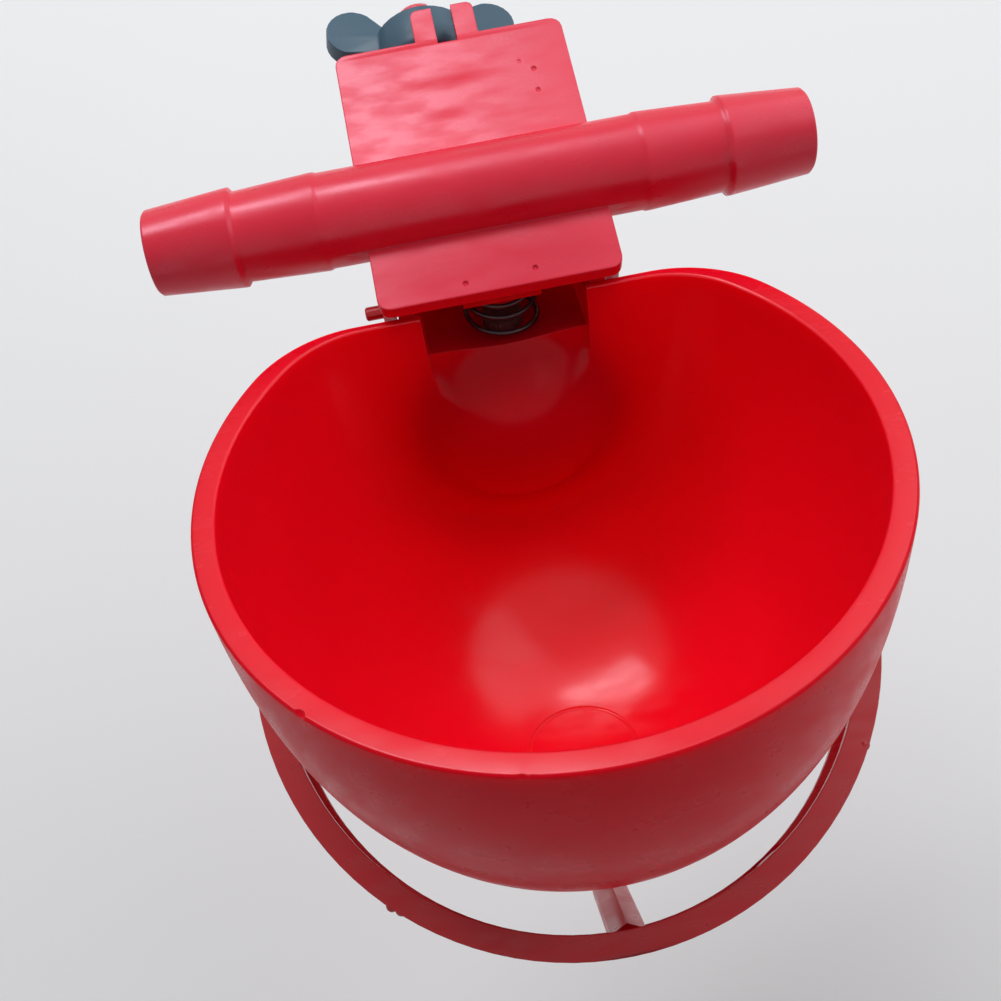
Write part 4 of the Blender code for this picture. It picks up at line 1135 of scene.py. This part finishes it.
    def skin_mesh(self) -> Item:
        """Closed mesh of the wall, from the outer bottom over the rim to the inner bottom."""
        outer_edge = self.rim_radius(self.outside)
        inner_edge = self.rim_radius(self.inside)
        outer = self.cast(self.free_outside, outer_edge, self.outer_rings)
        inner = self.cast(self.free_inside, inner_edge, self.inner_rings)
        lip = []
        for degrees in self.lip_degrees:
            angle = math.radians(degrees)
            lip.append((self.rim_round * (1.0 - math.cos(angle)), self.rim_round * (1.0 - math.sin(angle))))
        rows = list(outer[::-1])
        rows += [self.rim_ring(outer_edge - inset, drop) for inset, drop in lip]
        rows += [self.rim_ring(inner_edge + inset, drop) for inset, drop in reversed(lip)]
        rows += list(inner)
        shape = bmesh.new()
        grid = [[shape.verts.new(point) for point in row] for row in rows]
        for row, after in zip(grid, grid[1:]):
            for (near, near_next), (far, far_next) in zip(around(row), around(after)):
                shape.faces.new((near, near_next, far_next, far))
        lowest_outer = shape.verts.new((0.0, self.axis_y, self.rim_z - self.outside.depth))
        lowest_inner = shape.verts.new((0.0, self.axis_y, self.rim_z - self.inside.depth))
        for (outer_point, outer_next), (inner_point, inner_next) in zip(around(grid[0]), around(grid[-1])):
            shape.faces.new((lowest_outer, outer_next, outer_point))
            shape.faces.new((lowest_inner, inner_point, inner_next))
        bmesh.ops.recalc_face_normals(shape, faces=shape.faces)
        return new_mesh_object("bowl_skin", shape)

    def recess_shell(self) -> Item:
        """Walls around the valve recess."""
        half = self.recess_half + self.recess_wall
        return rounded_block(
            "recess_shell",
            (-half, self.channel_back + SHELL_OFFSET, self.shelf_z - self.shelf_thickness),
            (half, self.recess_back + self.recess_wall, self.rim_z - self.shell_drop),
            self.shell_round,
        )

    def channel_shell(self) -> Item:
        """Outside of the strip of wall that lies further back above the dome."""
        half = self.recess_half + self.recess_wall
        return rounded_block(
            "channel_shell",
            (-half, self.channel_back + SHELL_OFFSET, self.shell_low),
            (half, self.back_face + self.shell_overlap, self.shelf_z - self.shell_overlap),
            self.shell_round,
        )

    def recess(self) -> Item:
        """Space above the shelf, open to the bowl and upwards."""
        half = self.recess_half
        return rounded_block(
            "recess",
            (-half, self.channel_back - self.recess_reach, self.shelf_z),
            (half, self.recess_back, self.rim_z + self.recess_top),
            self.recess_round,
        )

    def ear(self, side: int) -> Item:
        """Ear that takes a hinge pin, on one side."""
        root_y = self.back_face - self.ear_sink
        outline = [(root_y, self.ear_root)]
        for degrees in self.ear_degrees:
            angle = math.radians(degrees)
            outline.append((self.ear_radius * math.cos(angle), self.ear_radius * math.sin(angle)))
        outline.append((root_y, 0.0))
        low, high = sorted((side * self.ear_inner, side * self.ear_outer))
        return extruded("ear", outline, low, high)

    def dome_hollow(self) -> Item:
        """Hollow behind the dome, open to the back."""
        radius = self.dome_radius - self.dome_wall
        return ball("dome_hollow", self.dome_centre, radius, self.dome_sides, self.dome_rings)

    def gate_ring(self) -> Item:
        """Shallow round groove around the gate mark, in the bottom."""
        profile = []
        for degrees in self.groove_degrees:
            angle = math.radians(degrees)
            across = self.gate_radius + self.gate_groove * math.cos(angle)
            profile.append((across, self.gate_groove * math.sin(angle)))
        item = turned("gate_ring", profile + profile[:1], GATE_SIDES)
        item.rotation_euler = (self.gate_tilt, 0.0, 0.0)
        item.location = self.gate_centre
        return item

    def seat(self) -> Item:
        """Shallow seat of the pad in the shelf."""
        low = self.shelf_z - self.pad_sink
        top = low + CUT_EXTRA
        profile = [(0.0, low), (self.pad_seat, low), (self.pad_seat, top), (0.0, top)]
        item = turned("pad_seat", profile, SEAT_SIDES)
        item.location = (0.0, self.pad_y, 0.0)
        return item

    def pin_bores(self) -> Item:
        """Bore through both ears on the hinge axis."""
        reach = self.ear_outer + CUT_EXTRA
        inner = self.ear_inner - BORE_EXTRA
        profile = [(0.0, -reach), (self.pin_bore, -reach), (self.pin_bore, -inner), (0.0, -inner)]
        left = turned("bore_left", profile, BORE_SIDES)
        right = turned("bore_right", [(radius, -height) for radius, height in profile], BORE_SIDES)
        both = combine(left, [right], Cut.JOIN)
        both.rotation_euler = (0.0, math.pi / 2, 0.0)
        return both


@dataclass(frozen=True)
class SoftLamp:
    """One soft lamp that faces the cup, with its place and size in metres and its power in watts."""

    name: str
    place: Point
    width: float
    height: float
    power: float


@dataclass
class Studio:
    """Pale floor, soft lamps and the camera.

    Attributes:
        camera_back: Direction from the picture to the camera.
        lens: Focal length in millimetres.
        room_light: Strength of the light from all around.
        lamp_target: Point that the lamps face.
    """

    floor_z: float = -0.16
    floor_size: float = 6.0
    floor_colour: Colour = (0.90, 0.90, 0.90)
    floor_shade: Colour = (0.88, 0.88, 0.88)
    floor_roughness: float = 0.9
    camera_place: Point = (-0.0101, -0.1342, 0.1684)
    camera_right: Point = (0.98114, -0.18738, -0.04739)
    camera_up: Point = (0.19170, 0.91218, 0.36219)
    camera_back: Point = (-0.02464, -0.36444, 0.93090)
    lens: float = 45.39
    sensor: float = 36.0
    nearest: float = 0.01
    room_light: float = 0.22
    lamps: tuple[SoftLamp, ...] = (
        SoftLamp("back_softbox", (-0.22, 0.53, 0.76), 0.62, 0.26, 5.5),
        SoftLamp("side_softbox", (0.62, 0.30, 0.66), 1.2, 1.2, 6.0),
    )
    lamp_target: Point = (0.0, -0.06, 0.0)
    lamp_colour: Colour = (0.95, 0.97, 1.0)

    def build(self) -> None:
        """Build the floor, the lamps, the world and the camera."""
        self.add_floor()
        self.add_world()
        for lamp in self.lamps:
            self.add_lamp(lamp)
        self.add_camera()
        bpy.context.scene.view_settings.view_transform = "Standard"

    def add_floor(self) -> None:
        """Pale floor below the cup."""
        shape = bmesh.new()
        bmesh.ops.create_grid(shape, x_segments=1, y_segments=1, size=self.floor_size / 2)
        floor = new_mesh_object("pale_floor", shape)
        floor.location = (0.0, 0.0, self.floor_z)
        graph = NodeGraph("pale_floor")
        graph.feed("Base Color", graph.mix(self.floor_colour, self.floor_shade, graph.pattern(FLOOR_TINT)))
        graph.feed("Roughness", self.floor_roughness)
        floor.data.materials.append(graph.material)

    def add_world(self) -> None:
        """White surroundings."""
        world = bpy.data.worlds.new("white_room")
        bpy.context.scene.world = world
        world.use_nodes = True
        tree = world.node_tree
        soft = tree.nodes["Background"]
        soft.inputs["Strength"].default_value = self.room_light
        seen = tree.nodes.new("ShaderNodeBackground")
        seen.inputs["Strength"].default_value = 1.0
        path = tree.nodes.new("ShaderNodeLightPath")
        share = path.outputs["Is Camera Ray"]
        for name in ("Is Glossy Ray", "Is Transmission Ray"):
            either = tree.nodes.new("ShaderNodeMath")
            either.operation = "MAXIMUM"
            tree.links.new(share, either.inputs[0])
            tree.links.new(path.outputs[name], either.inputs[1])
            share = either.outputs[0]
        choice = tree.nodes.new("ShaderNodeMixShader")
        tree.links.new(share, choice.inputs["Fac"])
        tree.links.new(soft.outputs["Background"], choice.inputs[1])
        tree.links.new(seen.outputs["Background"], choice.inputs[2])
        tree.links.new(choice.outputs["Shader"], tree.nodes["World Output"].inputs["Surface"])
        for node in (soft, seen):
            node.inputs["Color"].default_value = (1.0, 1.0, 1.0, 1.0)

    def add_lamp(self, lamp: SoftLamp) -> None:
        """Add a soft lamp."""
        data = bpy.data.lights.new(lamp.name, "AREA")
        data.shape = "RECTANGLE"
        data.size = lamp.width
        data.size_y = lamp.height
        data.energy = lamp.power
        data.color = self.lamp_colour
        item = link(bpy.data.objects.new(lamp.name, data))
        item.location = lamp.place
        aim = Vector(self.lamp_target) - Vector(lamp.place)
        item.rotation_euler = aim.to_track_quat("-Z", "Y").to_euler()

    def add_camera(self) -> None:
        """Add the camera at the photograph's viewing angle."""
        data = bpy.data.cameras.new("camera")
        data.sensor_width = self.sensor
        data.lens = self.lens
        data.clip_start = self.nearest
        camera = link(bpy.data.objects.new("camera", data))
        turn = Matrix((self.camera_right, self.camera_up, self.camera_back)).transposed()
        camera.matrix_world = Matrix.Translation(self.camera_place) @ turn.to_4x4()
        bpy.context.scene.camera = camera


def main() -> None:
    """Build the cup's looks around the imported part."""
    logging.basicConfig(level=logging.INFO, format="%(name)s: %(message)s")
    for item in list(bpy.data.objects):
        bpy.data.objects.remove(item, do_unlink=True)
    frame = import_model()
    finishes = make_finishes()
    nodes = frame["nodes"]
    Housing(nodes, finishes).build()
    Bowl(nodes, finishes).build()
    SmallPieces(nodes, finishes).build()
    LiftSpring(nodes, finishes).build()
    Guard(nodes, finishes).build()
    ClampNut(nodes, finishes).build()
    Studio().build()


if __name__ == "__main__":
    main()
